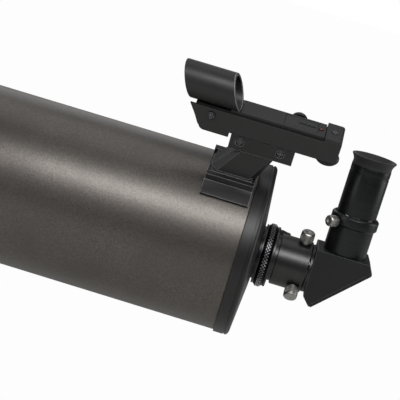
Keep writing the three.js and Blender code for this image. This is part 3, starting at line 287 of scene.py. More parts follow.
def outline(points, steps=4):
    """A closed outline of (station, radius, rounding) points, each rounded corner as a short bend."""
    rounded = []
    for i, (station, radius, *rounding) in enumerate(points):
        corner = Vector((station, radius))
        if not rounding:
            rounded.append(corner)
            continue
        entry = corner + (Vector(points[i - 1][:2]) - corner).normalized() * rounding[0]
        leave = corner + (Vector(points[(i + 1) % len(points)][:2]) - corner).normalized() * rounding[0]
        rounded.extend(bend(entry, corner, leave, steps))
    return rounded


# Edges that turn by more than this are shown sharp, and are the ones that a bevel eases.
SHARP = math.radians(32)


def turned_mesh(name, points, steps):
    """A closed body turned about the X axis from an outline in millimetres."""
    mesh = bpy.data.meshes.new(name)
    profile = outline(points)
    shape = bmesh.new()
    rings = []
    for step in range(steps):
        turn = Matrix.Rotation(2 * math.pi * step / steps, 3, "X")
        rings.append([shape.verts.new(turn @ Vector((p.x, 0, max(p.y, 0)))) for p in profile])
    for step, ring in enumerate(rings):
        after = rings[(step + 1) % steps]
        for i in range(len(ring)):
            j = (i + 1) % len(ring)
            shape.faces.new((ring[i], ring[j], after[j], after[i]))
    bmesh.ops.remove_doubles(shape, verts=shape.verts, dist=1e-4)
    bmesh.ops.recalc_face_normals(shape, faces=shape.faces)
    shape.to_mesh(mesh)
    shape.free()
    mesh.shade_smooth()
    mesh.set_sharp_from_angle(angle=SHARP)
    return mesh


def turned(name, material, points, where=PLACE, steps=96):
    """A turned piece put where it belongs in the telescope."""
    mesh = turned_mesh(name, points, steps)
    mesh.transform(where)
    return make_object(name, mesh, material)


def dome(station, curve, inner, outer, steps=20):
    """Points of a spherical surface whose middle lies at this station."""
    radii = [inner + (outer - inner) * i / steps for i in range(steps + 1)]
    return [(station - curve + math.sqrt(curve * curve - r * r), r) for r in radii]


# Satin black paint over a casting: deep black, a soft sheen that varies over a few centimetres, and a
# fine grain of 0.4 mm from the sprayed coat.
black_paint, tree, shader, place = start_material(
    "satin_black_casting_paint", Base_Color=colour("161617"), IOR=1.5, Coat_Weight=0.1, Coat_Roughness=0.3
)
sheen = add(tree, "ShaderNodeTexNoise", {"Vector": place, "Scale": 30.0, "Detail": 2.0})
vary(tree, shader, sheen, roughness=(0.34, 0.46))
grain = add(tree, "ShaderNodeTexNoise", {"Vector": place, "Scale": 2500.0, "Detail": 2.0})
vary(tree, shader, grain, relief=(0.12, 0.0001))

CELL_RADIUS = 74.2
SPIGOT_RADIUS = 70.8
front = turned(
    "front_cell_casting",
    black_paint,
    [
        (-290, 66, 0.6),
        (-290, CELL_RADIUS, 1.0),
        (-262, CELL_RADIUS, 0.4),
        (-262, SPIGOT_RADIUS),
        (-252, SPIGOT_RADIUS, 0.4),
        (-252, 62.5, 0.4),
        (-264.7, 62.5, 0.3),
        (-264.7, 65.3),
        (-280, 65.3),
        (-280, 66),
    ],
    steps=160,
)
fitted(front, "tube", "black_paint", "front_cell")


# Black anodised aluminium: the dyed oxide still shines like metal, and the lathe leaves fine rings round
# the axis. The rings are 0.1 mm apart, drawn at about 0.4 mm. The axis across the rings is the dense one.
def anodised(name, stretch, dark, light):
    material, tree, shader, place = start_material(name, Metallic=0.9)
    laid = add(tree, "ShaderNodeMapping", {"Vector": place, "Scale": stretch})
    rings = add(tree, "ShaderNodeTexNoise", {"Vector": laid.outputs[0], "Scale": 1.0, "Detail": 3.0})
    vary(tree, shader, rings, tones=(dark, light), roughness=(0.27, 0.4), relief=(0.1, 0.0001))
    return material


axial_anodised = anodised("black_anodised_turned_along_tube", (2400.0, 20.0, 20.0), "373737", "525252")
upright_anodised = anodised("black_anodised_turned_upright", (20.0, 20.0, 2400.0), "2C2D2E", "424344")

ring_points = [(-279.7, 62.5, 0.3), (-279.7, 65, 0.3), (-277.1, 65), (-277.1, 62.5)]
lens_ring = turned("lens_ring", axial_anodised, ring_points, steps=160)
fitted(lens_ring, "tube", "black_anodised", "corrector_ring")

# The meniscus corrector: polished crown glass with a single-layer coating on both faces, and the small
# aluminised spot on its inner face that is the secondary mirror, inside a painted baffle cone.
coated_glass, tree, shader, place = start_material(
    "coated_crown_glass",
    Base_Color=colour("F4F8F6"),
    Transmission_Weight=1.0,
    IOR=1.52,
    Thin_Film_Thickness=115.0,
    Thin_Film_IOR=1.38,
)
smears = add(tree, "ShaderNodeTexNoise", {"Vector": place, "Scale": 60.0, "Detail": 4.0})
vary(tree, shader, smears, roughness=(0.0, 0.02))

# Vacuum aluminising under a thin quartz layer: almost a perfect mirror, with the faintest haze.
aluminised, tree, shader, place = start_material(
    "aluminised_mirror_coat", Base_Color=colour("E9EBEC"), Metallic=1.0
)
haze = add(tree, "ShaderNodeTexNoise", {"Vector": place, "Scale": 80.0, "Detail": 3.0})
vary(tree, shader, haze, roughness=(0.015, 0.05))

LENS_CURVE = 176.0
LENS_THICKNESS = 11.0
lens_front = -277 + LENS_CURVE - math.sqrt(LENS_CURVE**2 - 65.0**2)
lens_points = dome(lens_front, LENS_CURVE, 0, 65) + dome(lens_front + LENS_THICKNESS, LENS_CURVE, 0, 65)[::-1]
corrector = turned("corrector_meniscus", coated_glass, lens_points, steps=128)
fitted(corrector, "tube", "optical_glass", "corrector_lens")
spot_front = lens_front + LENS_THICKNESS + 0.3
spot_points = dome(spot_front, LENS_CURVE, 0, 15, 8) + dome(spot_front + 0.6, LENS_CURVE, 0, 15, 8)[::-1]
fitted(turned("secondary_mirror_spot", aluminised, spot_points), "tube", "mirror_coat", "secondary_spot")
# The cone stands 0.8 mm off the lens, which curves away by 1.03 mm at the radius of the cone's foot.
CONE_GAP, LENS_SAG = 0.8, 1.03
cone = lens_front + LENS_THICKNESS + CONE_GAP - LENS_SAG
cone_points = [(cone, 17.8), (cone, 19, 0.3), (cone + 28, 16.5, 0.3), (cone + 28, 15.3)]
fitted(turned("secondary_baffle_cone", black_paint, cone_points), "tube", "black_paint", "secondary_baffle")

# Rear cell: a shallow turned cup in the same satin black, with a narrow groove round its band and a back
# face that swells towards the port. Its middle carries the long baffle tube that the mirror slides on.
shoulder = bend(Vector((9.6, CELL_RADIUS)), Vector((13.4, CELL_RADIUS)), Vector((13.4, 68.2)), 10)
rear = turned(
    "rear_cell_casting",
    black_paint,
    [
        (-10, 67.8),
        (-10, SPIGOT_RADIUS, 0.4),
        (0, SPIGOT_RADIUS),
        (0, CELL_RADIUS, 0.4),
        (8.6, CELL_RADIUS, 0.3),
        (8.6, 73.4),
        (9.6, 73.4),
        *shoulder,
        (16.4, 34, 4.0),
        (17, 28, 2.0),
        (17, 19.3),
        (11.5, 19.3),
        (11.5, 61.8),
        (5.5, 67.8),
    ],
    steps=160,
)
fitted(rear, "tube", "black_paint", "rear_cell")
baffle_points = [(-138.5, 15.6), (-138.5, 17.5, 0.3), (8.1, 17.5), (8.1, 25, 0.5), (11.4, 25), (11.4, 15.6)]
fitted(turned("central_baffle_tube", black_paint, baffle_points), "tube", "black_paint", "baffle_tube")

# Primary mirror: a thick glass blank, aluminised on its hollow front face and ground on its edge, glued
# to an anodised carrier whose nose passes through its hole and is held there by a flat nut.
mirror_face = [(-60 - x, r) for x, r in dome(-30, 640, 22.6, 64.5)]
blank_points = [*mirror_face, (-11, 64.5, 0.8), (-11, 22.6, 0.8)]
blank = turned("primary_mirror_blank", aluminised, blank_points, steps=128)
fitted(blank, "mirror_cell", "mirror_coat", "primary_mirror")
carrier_points = [
    (-33.6, 17.75),
    (-33.6, 22.2, 0.4),
    (-10.7, 22.2),
    (-10.7, 58, 0.8),
    (-5.7, 58, 0.8),
    (-5.7, 17.75),
]
carrier = turned("mirror_carrier_plate", axial_anodised, carrier_points)
fitted(carrier, "mirror_cell", "black_anodised", "mirror_carrier")
nut_points = [(-32.9, 22.5), (-32.9, 27, 0.5), (-30.3, 27, 0.5), (-30.3, 22.5)]
fitted(turned("mirror_flat_nut", axial_anodised, nut_points), "mirror_cell", "black_anodised", "mirror_nut")

# Focuser: a steel rod fixed in the carrier runs through a flanged bush in the rear cell into a rubber
# covered knob with moulded ribs, 45 mm from the axis on the far side.
FOCUS_REACH = 45
FOCUS_RISE = math.radians(5)
focus_place = (0, FOCUS_REACH * math.cos(FOCUS_RISE), FOCUS_REACH * math.sin(FOCUS_RISE))
FOCUS = PLACE @ Matrix.Translation(focus_place)

# Bright zinc plate on steel: light grey with a soft mottled lustre of about 1.4 mm.
zinc, tree, shader, place = start_material("bright_zinc_plated_steel", Metallic=1.0, Roughness=0.3)
mottle = add(tree, "ShaderNodeTexNoise", {"Vector": place, "Scale": 700.0, "Detail": 3.0})
vary(tree, shader, mottle, tones=("8E9093", "B4B6B9"), roughness=(0.22, 0.38))


def paint_corner_glints(tree, shader, width, cosines, glint_colour):
    """Paints a glint colour along corners, as a painted highlight. There the cosine between the face's normal
    and one rounded over the width falls, and the colour fades in between the two values given."""
    rounded = add(tree, "ShaderNodeBevel", {"Radius": width}, samples=6)
    facing = add(tree, "ShaderNodeNewGeometry").outputs["True Normal"]
    along = {0: rounded.outputs[0], 1: facing}
    flat = add(tree, "ShaderNodeVectorMath", along, operation="DOT_PRODUCT").outputs["Value"]
    fading = {"Value": flat, "From Min": cosines[0], "From Max": cosines[1]}
    corner = add(tree, "ShaderNodeMapRange", fading)
    base_tone = shader.inputs["Base Color"].links[0].from_socket
    painted_glints = {0: corner.outputs[0], "A": base_tone, "B": colour(glint_colour)}
    mixed = add(tree, "ShaderNodeMix", painted_glints, data_type="RGBA")
    tree.links.new(mixed.outputs["Result"], shader.inputs["Base Color"])


# Black oxide on steel: almost black and still glossy, with a bloom of about 1.7 mm, and a painted glint
# along the edges of its recess.
black_oxide, tree, shader, place = start_material("black_oxide_steel", Metallic=0.85)
bloom = add(tree, "ShaderNodeTexNoise", {"Vector": place, "Scale": 600.0, "Detail": 3.0})
vary(tree, shader, bloom, tones=("1D1D1E", "48464A"), roughness=(0.14, 0.26))
paint_corner_glints(tree, shader, 0.0003, (0.98, 0.8), "C8C8CC")

# Black rubber: dull, with a little grazing sheen, slightly greyer where it has been handled, and a
# moulded texture of 0.5 mm.
rubber, tree, shader, place = start_material(
    "moulded_black_rubber", Roughness=0.72, IOR=1.52, Sheen_Weight=0.12, Sheen_Roughness=0.5
)
handling = add(tree, "ShaderNodeTexNoise", {"Vector": place, "Scale": 140.0, "Detail": 4.0})
vary(tree, shader, handling, tones=("0E0F10", "1B1C1D"))
pores = add(tree, "ShaderNodeTexNoise", {"Vector": place, "Scale": 2000.0, "Detail": 2.0})
vary(tree, shader, pores, relief=(0.2, 0.0001))

# Ribs or diamond points round a grip: each is a four-sided stud with a small flat top, and they stand in
# rows round the X axis. Square studs lie in line with the axis, and the others point along it.
grip_tree, given = start_tree(
    "grip_studs",
    Per_Row=40,
    Rows=1,
    Radius=10.0,
    First=0.0,
    Pitch=1.0,
    Length=1.0,
    Width=1.0,
    Height=0.4,
    Top=0.3,
    Square=True,
)
count = add(grip_tree, "ShaderNodeMath", {0: given["Per_Row"], 1: given["Rows"]}, operation="MULTIPLY")
index = add(grip_tree, "GeometryNodeInputIndex").outputs[0]
along = add(grip_tree, "ShaderNodeMath", {0: index, 1: given["Per_Row"]}, operation="DIVIDE")
row = add(grip_tree, "ShaderNodeMath", {0: along.outputs[0]}, operation="FLOOR").outputs[0]
odd = add(grip_tree, "ShaderNodeMath", {0: row, 1: 2.0}, operation="MODULO")
shift = add(grip_tree, "ShaderNodeMath", {0: odd.outputs[0], 1: 0.5, 2: index}, operation="MULTIPLY_ADD")
share = add(grip_tree, "ShaderNodeMath", {0: shift.outputs[0], 1: given["Per_Row"]}, operation="DIVIDE")
round_by = add(grip_tree, "ShaderNodeMath", {0: share.outputs[0], 1: 2 * math.pi}, operation="MULTIPLY")
angle = round_by.outputs[0]
placed = {0: row, 1: given["Pitch"], 2: given["First"]}
station = add(grip_tree, "ShaderNodeMath", placed, operation="MULTIPLY_ADD")
outwards = add(grip_tree, "ShaderNodeCombineXYZ", {"X": station.outputs[0], "Z": given["Radius"]})
spin = add(grip_tree, "ShaderNodeCombineXYZ", {"X": angle}).outputs[0]
seat = add(
    grip_tree,
    "ShaderNodeVectorRotate",
    {"Vector": outwards.outputs[0], "Angle": angle},
    rotation_type="X_AXIS",
)
points = add(grip_tree, "GeometryNodePoints", {"Count": count.outputs[0], "Position": seat.outputs[0]})
# A four-sided cone's radius runs to its corners, so a square stud's is longer by the square root of two.
cornered = {0: given["Square"], 1: 0.4142, 2: 1.0}
reach = add(grip_tree, "ShaderNodeMath", cornered, operation="MULTIPLY_ADD").outputs[0]
narrow = add(grip_tree, "ShaderNodeMath", {0: reach, 1: given["Top"]}, operation="MULTIPLY")
stud = add(
    grip_tree,
    "GeometryNodeMeshCone",
    {"Vertices": 4, "Radius Top": narrow.outputs[0], "Radius Bottom": reach, "Depth": 1.0},
)
quarter = add(grip_tree, "ShaderNodeMath", {0: given["Square"], 1: math.pi / 4}, operation="MULTIPLY")
facing = add(grip_tree, "ShaderNodeCombineXYZ", {"Z": quarter.outputs[0]})
faced = {"Geometry": stud.outputs[0], "Rotation": facing.outputs[0]}
squared = add(grip_tree, "GeometryNodeTransform", faced)
half_length = add(grip_tree, "ShaderNodeMath", {0: given["Length"], 1: 0.5}, operation="MULTIPLY")
half_width = add(grip_tree, "ShaderNodeMath", {0: given["Width"], 1: 0.5}, operation="MULTIPLY")
size = add(
    grip_tree,
    "ShaderNodeCombineXYZ",
    {"X": half_length.outputs[0], "Y": half_width.outputs[0], "Z": given["Height"]},
)
sized = add(grip_tree, "GeometryNodeTransform", {"Geometry": squared.outputs[0], "Scale": size.outputs[0]})
studs = add(
    grip_tree,
    "GeometryNodeInstanceOnPoints",
    {"Points": points.outputs[0], "Instance": sized.outputs[0], "Rotation": spin},
)
joined = add(grip_tree, "GeometryNodeJoinGeometry", {"Geometry": given["Body"]})
grip_tree.links.new(studs.outputs[0], joined.inputs[0])
end_tree(grip_tree, given, joined.outputs[0])


def gripped(name, material, points, where, steps=72, **sizes):
    """A turned piece with studs round its grip."""
    piece = make_object(name, turned_mesh(name, points, steps), material)
    grown(piece, grip_tree, material, **sizes)
    piece.data.transform(where)
    return piece


bush_points = [(11.5, 3.4), (11.5, 8), (17.3, 8), (17.3, 10, 0.5), (19.9, 10, 0.5), (19.9, 3.4)]
bush = turned("focus_guide_bush", axial_anodised, bush_points, FOCUS, 48)
fitted(bush, "tube", "black_anodised", "focus_bush")
rod_points = [(-10.4, 0), (-10.4, 3), (29, 3, 0.5), (29, 0)]
fitted(turned("focus_screw_rod", zinc, rod_points, FOCUS, 32), "mirror_cell", "steel", "focus_rod")
knob_points = [
    (20.4, 3.4),
    (20.4, 10.3, 0.6),
    (39.9, 10.3, 0.4),
    (41.4, 9.4, 0.5),
    (41.4, 7.5, 0.3),
    (40.9, 7.0, 0.3),
    (40.9, 0),
    (38, 0),
    (38, 3.4),
]
knob = gripped(
    "focus_knob_rubber", rubber, knob_points, FOCUS,
    Per_Row=36, Radius=10.2, First=30.2, Length=17.0, Width=1.2, Height=0.8, Top=0.5,
)
fitted(knob, "focus_knob", "knob_rubber", "focus_knob")

# Rear port and coupling ring: the threaded aluminium port stands on the rear cell, and a ring with a
# diamond knurl draws the visual back onto it.
port_points = [
    (11.5, 14),
    (11.5, 19),
    (17.1, 19),
    (17.1, 22, 0.3),
    (18.5, 22),
    (18.5, 25.6, 0.3),
    (20, 25.6, 0.3),
    (20, 21),
    (27, 21, 0.4),
    (27, 14),
]
fitted(turned("threaded_rear_port", axial_anodised, port_points), "tube", "black_anodised", "rear_port")
coupling_points = [
    (20.3, 21.4),
    (20.3, 25.6, 0.3),
    (21.7, 26.4, 0.3),
    (26.6, 26.4, 0.3),
    (28, 25.6, 0.3),
    (28, 21.4),
]
# The knurl's points, from 26.75 mm out, are drawn in a light tone: a painted highlight for the glints they
# catch. Real diamonds have sides of 1 mm, drawn at 1.8 mm so that they show.
knurled, tree, shader, place = start_material("knurled_anodised_painted_glints", Metallic=1.0, Roughness=0.3)
axis = PLACE.translation
centred = {"Vector": place, "Location": (0.0, -axis.y, -axis.z), "Scale": (0.0, 1.0, 1.0)}
across = add(tree, "ShaderNodeMapping", centred)
reach = add(tree, "ShaderNodeVectorMath", {0: across.outputs[0]}, operation="LENGTH").outputs["Value"]
# Painted glints: the knurl's points are drawn light from 26.75 mm out.
painted_glints = add(tree, "ShaderNodeMapRange", {"Value": reach, "From Min": 0.02675, "From Max": 0.0271})
vary(tree, shader, painted_glints, tones=("1C1C1E", "C9CACC"))
coupling = gripped(
    "knurled_coupling_ring", knurled, coupling_points, PLACE, 128,
    Per_Row=60, Rows=3, Radius=26.65, First=22.8, Pitch=1.35, Length=2.5, Width=2.6, Height=0.9,
    Top=0.16, Square=False,
)
fitted(coupling, "coupling_ring", "black_anodised", "coupling_ring")

# Visual back: a turned and anodised sleeve with a flange, a narrow neck and two fine grooves near its
# rear. Two knurled thumbscrews pinch the barrel of whatever is put in it.
BACK_RADIUS = 21.9
BARREL_RADIUS = 15.87
SOCKET_RADIUS = 16.12
back_points = [
    (28.3, 14),
    (28.3, 26, 0.4),
    (30.3, 26, 0.4),
    (30.3, 19.8, 0.3),
    (33.2, 19.8),
    (33.2, BACK_RADIUS, 0.7),
    (56.6, BACK_RADIUS),
    (56.6, 21.55),
    (57.1, 21.55),
    (57.1, BACK_RADIUS),
    (58.4, BACK_RADIUS),
    (58.4, 21.55),
    (58.9, 21.55),
    (58.9, BACK_RADIUS),
    (60.2, BACK_RADIUS, 0.7),
    (60.2, SOCKET_RADIUS, 0.3),
    (34.7, SOCKET_RADIUS),
    (34.7, 14),
]
sleeve = turned("visual_back_sleeve", axial_anodised, back_points, steps=128)
fitted(sleeve, "visual_back", "black_anodised", "visual_back")

# Satin chrome: bead-blasted before plating, so it is bright but soft, with a slight tarnish in patches
# of 2 mm.
satin_chrome, tree, shader, place = start_material("satin_chrome_plate", Metallic=1.0)
tarnish = add(tree, "ShaderNodeTexNoise", {"Vector": place, "Scale": 500.0, "Detail": 3.0})
vary(tree, shader, tarnish, tones=("9A9894", "BDBBB7"), roughness=(0.32, 0.48))


def aimed(origin, direction, base=PLACE):
    """Where a piece turned about its own X axis lies, when it points this way from an origin."""
    turn = Vector((1, 0, 0)).rotation_difference(Vector(direction)).to_matrix().to_4x4()
    return base @ Matrix.Translation(origin) @ turn


def thumbscrew(name, surface, head, length, where):
    """A knurled thumbscrew whose tip stands by the barrel and whose collar stands on a surface."""
    tip = (BARREL_RADIUS + SOCKET_RADIUS) / 2
    foot, collar = surface + 0.3, surface + 1.5
    end = collar + length
    points = [
        (tip, 0),
        (tip, 1.9, 0.3),
        (foot, 1.9),
        (foot, head - 1.6, 0.2),
        (collar, head - 1.6),
        (collar, head - 0.9, 0.2),
        (collar + 0.6, head - 0.35, 0.1),
        (end - 0.9, head - 0.35, 0.1),
        (end, head - 1.1, 0.2),
        (end, 1.9, 0.3),
        (end - 0.7, 0.9, 0.3),
        (end - 0.7, 0),
    ]
    return gripped(
        name, satin_chrome, points, where, 64,
        Per_Row=56, Radius=head - 0.36, First=collar + length / 2, Length=length - 1.9,
        Width=0.56 * head / 6, Height=0.22, Top=0.4,
    )


for number, rise, body in ((1, 75, "visual_screw_upper"), (2, -45, "visual_screw_lower")):
    lean = math.radians(rise)
    where = aimed((52.9, 0, 0), (0, -math.cos(lean), math.sin(lean)))
    screw = thumbscrew(f"visual_back_thumbscrew_{number}", BACK_RADIUS, 6.0, 9.4, where)
    fitted(screw, body, "satin_chrome", f"visual_back_screw_{number}")

# Diagonal: a moulded black housing with a chromed 31.75 mm nose on one face and an eyepiece holder on
# another. A prism inside turns the light up, on a foam pad behind a screwed cover plate.

# Polished chrome plate over a turned barrel, with faint bands about 1.7 mm apart left under the plate.
chrome, tree, shader, place = start_material("polished_chrome_barrel", Metallic=1.0)
laid = add(tree, "ShaderNodeMapping", {"Vector": place, "Scale": (600.0, 40.0, 600.0)})
swirl = add(tree, "ShaderNodeTexNoise", {"Vector": laid.outputs[0], "Scale": 1.0, "Detail": 3.0})
vary(tree, shader, swirl, tones=("C4C6C9", "DBDCDE"), roughness=(0.08, 0.18))


# ABS moulded in a spark-eroded tool: a dark shade, low gloss, with a texture of about 0.5 mm and slightly
# shinier patches where fingers rub. Its corners carry a painted highlight along a line of 0.6 mm.
def textured_abs(name, dark, light, corner_highlight):
    material, tree, shader, place = start_material(name, IOR=1.53)
    texture = add(tree, "ShaderNodeTexNoise", {"Vector": place, "Scale": 2000.0, "Detail": 3.0})
    vary(tree, shader, texture, tones=(dark, light), relief=(0.2, 0.0001))
    paint_corner_glints(tree, shader, 0.0006, (0.99, 0.86), corner_highlight)
    rubbed = add(tree, "ShaderNodeTexNoise", {"Vector": place, "Scale": 45.0, "Detail": 3.0})
    vary(tree, shader, rubbed, roughness=(0.38, 0.54))
    return material


moulded = textured_abs("spark_textured_black_abs", "0B0C0D", "141517", "6C6C6E")


def eased_copy(node, name, material, width, segments=2):
    """A copy of a CAD node with its corners eased by a width in millimetres."""
    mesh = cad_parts[node].data.copy()
    shape = bmesh.new()
    shape.from_mesh(mesh)
    bmesh.ops.remove_doubles(shape, verts=shape.verts, dist=2e-6)
    bmesh.ops.dissolve_limit(shape, angle_limit=math.radians(0.5), verts=shape.verts, edges=shape.edges)
    shape.to_mesh(mesh)
    shape.free()
    mesh.shade_smooth()
    mesh.set_sharp_from_angle(angle=SHARP)
    piece = make_object(name, mesh, material)
    bevel = piece.modifiers.new("eased_corners", "BEVEL")
    bevel.width = width * 0.001
    bevel.segments = segments
    bevel.limit_method = "ANGLE"
    bevel.angle_limit = SHARP
    bevel.harden_normals = True
    return settled(piece, material)


BARREL_BORE = 13.6
barrel_points = [
    (35.1, BARREL_BORE),
    (35.1, BARREL_RADIUS, 0.5),
    (42.6, BARREL_RADIUS),
    (43.2, 15.4),
    (50.6, 15.4),
    (51.2, BARREL_RADIUS),
    (60.7, BARREL_RADIUS),
    (60.7, BARREL_BORE),
]
fitted(turned("diagonal_nose_barrel", chrome, barrel_points), "diagonal", "chrome", "diagonal_nose")
flange_points = [
    (60.7, BARREL_BORE),
    (60.7, 20.6, 0.6),
    (61.6, 20.6),
    (61.6, 20.2),
    (62.0, 20.2),
    (62.0, 20.6),
    (63.2, 20.6, 0.2),
    (63.2, BARREL_BORE),
]
fitted(turned("diagonal_nose_flange", axial_anodised, flange_points), "diagonal", "black_anodised")
housing = eased_copy("diagonal_housing", "diagonal_moulding", moulded, 0.9, 3)
fitted(housing, "diagonal", "housing_plastic", "diagonal_housing")
cover = eased_copy("diagonal_cover", "diagonal_cover_plate", moulded, 0.5)
fitted(cover, "diagonal", "housing_plastic", "diagonal_cover")
prism = eased_copy("diagonal_prism", "right_angle_prism", coated_glass, 0.5)
fitted(prism, "diagonal", "optical_glass", "diagonal_prism")
pad = eased_copy("prism_pad", "prism_foam_pad", rubber, 0.8)
fitted(pad, "diagonal", "knob_rubber", "prism_pad")

# A driver's recess sunk into a screw's head from its far end: a cross of two bars, or a hexagon.
recess_tree, given = start_tree("driver_recess", Face=1.0, Depth=0.8, Span=3.0, Bar=0.7, Hexagon=False)
twice = add(recess_tree, "ShaderNodeMath", {0: given["Depth"], 1: 2.0}, operation="MULTIPLY").outputs[0]
centre = add(recess_tree, "ShaderNodeCombineXYZ", {"X": given["Face"]}).outputs[0]
bars = add(recess_tree, "GeometryNodeJoinGeometry")
for swap in (False, True):
    across, upright = (given["Bar"], given["Span"]) if swap else (given["Span"], given["Bar"])
    size = add(recess_tree, "ShaderNodeCombineXYZ", {"X": twice, "Y": across, "Z": upright}).outputs[0]
    bar = add(recess_tree, "GeometryNodeMeshCube", {"Size": size})
    recess_tree.links.new(bar.outputs[0], bars.inputs[0])
half_span = add(recess_tree, "ShaderNodeMath", {0: given["Span"], 1: 0.5}, operation="MULTIPLY").outputs[0]
six = add(recess_tree, "GeometryNodeMeshCylinder", {"Vertices": 6, "Radius": half_span, "Depth": twice})
laid_six = add(
    recess_tree, "GeometryNodeTransform", {"Geometry": six.outputs[0], "Rotation": (0.0, math.pi / 2, 0.0)}
)
tool = add(
    recess_tree,
    "GeometryNodeSwitch",
    {"Switch": given["Hexagon"], "False": bars.outputs[0], "True": laid_six.outputs[0]},
    input_type="GEOMETRY",
)
sunk = add(recess_tree, "GeometryNodeTransform", {"Geometry": tool.outputs[0], "Translation": centre})
cut = add(recess_tree, "GeometryNodeMeshBoolean", {"Mesh 1": given["Body"]}, operation="DIFFERENCE")
recess_tree.links.new(sunk.outputs[0], cut.inputs["Mesh 2"])
end_tree(recess_tree, given, cut.outputs[0])


def driven_screw(name, material, shank, head, where, **recess):
    """A screw from its shank's (start, radius) and its head's (start, end, radius), with its recess."""
    (tip, thin), (seat, face, wide) = shank, head
    points = [
        (tip, 0),
        (tip, thin, 0.2),
        (seat, thin),
        (seat, wide, 0.1),
        (face, wide, 0.35 * min(1.2, face - seat)),
        (face, 0),
    ]
    piece = make_object(name, turned_mesh(name, points, 40), material)
    grown(piece, recess_tree, material, Face=face, **recess)
    piece.data.shade_smooth()
    piece.data.set_sharp_from_angle(angle=SHARP)
    piece.data.transform(where)
    return piece


# The slope runs at 45 degrees behind the prism; a screw holds the cover plate at each of its ends.
slope_foot, slope_head = Vector((72.428, 0, -26.9)), Vector((112.3, 0, 12.972))
slope_way = (slope_head - slope_foot).normalized() * 6.5
slope_out = Vector((1, 0, -1)).normalized()
for end, place_at in (("lower", slope_foot + slope_way), ("upper", slope_head - slope_way)):
    where = aimed(place_at - slope_out * 2.6, slope_out)
    screw = driven_screw(
        f"cover_plate_screw_{end}", satin_chrome, (-4, 1.4), (2.7, 5.6, 3.6), where,
        Depth=1.4, Span=4.4, Bar=1.0,
    )
    fitted(screw, "diagonal", "satin_chrome", f"cover_screw_{end}")

# The eyepiece holder is screwed down on the housing: a plain tube with a raised ring at its mouth, where
# a single thumbscrew points back at the observer.
HOLDER_STATION = 86.6
HOLDER_RING = 20.1
UPRIGHT = PLACE @ Matrix.Translation((HOLDER_STATION, 0, 0)) @ Matrix.Rotation(-math.pi / 2, 4, "Y")
holder_points = [
    (21.9, BARREL_BORE),
    (21.9, 18.3, 0.3),
    (45.7, 18.3, 0.2),
    (45.7, 18.7, 0.2),
    (47.1, HOLDER_RING, 0.5),
    (54.1, HOLDER_RING, 0.5),
    (55.5, 18.7, 0.3),
    (55.5, SOCKET_RADIUS, 0.3),
    (24.9, SOCKET_RADIUS),
    (24.9, BARREL_BORE),
]
holder = turned("eyepiece_holder_tube", upright_anodised, holder_points, UPRIGHT, 128)
fitted(holder, "diagonal", "black_anodised", "eyepiece_holder")
swing = math.radians(47)
where = aimed((HOLDER_STATION, 0, 48.3), (-math.sin(swing), -math.cos(swing), 0))
screw = thumbscrew("holder_thumbscrew", HOLDER_RING, 5.0, 8.6, where)
fitted(screw, "diagonal_screw", "satin_chrome", "diagonal_screw")

# Eyepiece: a chromed barrel with an undercut, a turned black body with a groove near its top, two lenses
# and a flared rubber eyecup stretched over the top edge.
barrel_points = [
    (28.8, BARREL_BORE),
    (28.8, BARREL_RADIUS, 0.5),
    (39, BARREL_RADIUS),
    (39.5, 15.4),
    (45.5, 15.4),
    (46, BARREL_RADIUS),
    (55.8, BARREL_RADIUS),
    (55.8, BARREL_BORE),
]
barrel = turned("eyepiece_chrome_barrel", chrome, barrel_points, UPRIGHT)
fitted(barrel, "eyepiece", "chrome", "eyepiece_barrel")
BODY_RADIUS = 16.8
body_points = [
    (55.9, BARREL_BORE),
    (55.9, BODY_RADIUS, 0.5),
    (91.1, BODY_RADIUS, 0.1),
    (91.1, 16.35),
    (92.3, 16.35),
    (92.3, BODY_RADIUS, 0.1),
    (95.6, BODY_RADIUS),
    (95.6, 16.5),
    (96.0, 16.5),
    (96.0, BODY_RADIUS),
    (97.6, BODY_RADIUS, 0.3),
    (97.6, 9.9),
    (85.6, 9.9),
    (81.6, BARREL_BORE),
]
body = turned("eyepiece_turned_body", upright_anodised, body_points, UPRIGHT, 128)
fitted(body, "eyepiece", "black_anodised", "eyepiece_body")


def biconvex(name, level, radius, curve, edge):
    """A lens with two equal bulging faces, its lower edge at a level above the axis."""
    crown = curve - math.sqrt(curve * curve - radius * radius)
    upper = dome(level + edge + crown, curve, 0, radius, 10)
    lower = [(2 * level + edge - x, r) for x, r in upper]
    return turned(name, coated_glass, lower + upper[::-1], UPRIGHT, 64)


fitted(biconvex("eyepiece_field_lens", 64.5, 12.4, 32.0, 2.4), "eyepiece", "optical_glass", "field_lens")
fitted(biconvex("eyepiece_eye_lens", 92.6, 9.6, 26.0, 2.2), "eyepiece", "optical_glass", "eye_lens")
cup_points = [
    (97.7, 12.4),
    (97.7, 16.8, 0.4),
    (100.3, 16.4, 1.2),
    (103.1, 17.4, 1.2),
    (105.2, 18.9, 0.4),
    (105.8, 19.0, 0.3),
    (106.1, 18.5, 0.2),
    (106.1, 16.8, 0.3),
    (100.7, 12.4, 0.5),
]
cup = turned("eyecup_flared_rubber", rubber, cup_points, UPRIGHT, 128)
fitted(cup, "eyepiece", "knob_rubber", "eyecup")

# Finder shoe: a moulded dovetail channel screwed to the tube, turned 24 degrees from the top towards the
# near side. Two countersunk screws hold it from inside the channel and a thumbscrew locks the foot.
FINDER = PLACE @ Matrix.Rotation(math.radians(24), 4, "X")

# Charcoal ABS for the finder, a shade lighter than the diagonal. The shoe is painted darker as shade, with
# painted glints on its corners.
charcoal = textured_abs("fine_textured_charcoal_abs", "171717", "212121", "303030")
shoe_painted_shade_and_glints = textured_abs("charcoal_abs_painted_shade_and_glints", "0B0B0C", "141415", "9C9C9C")

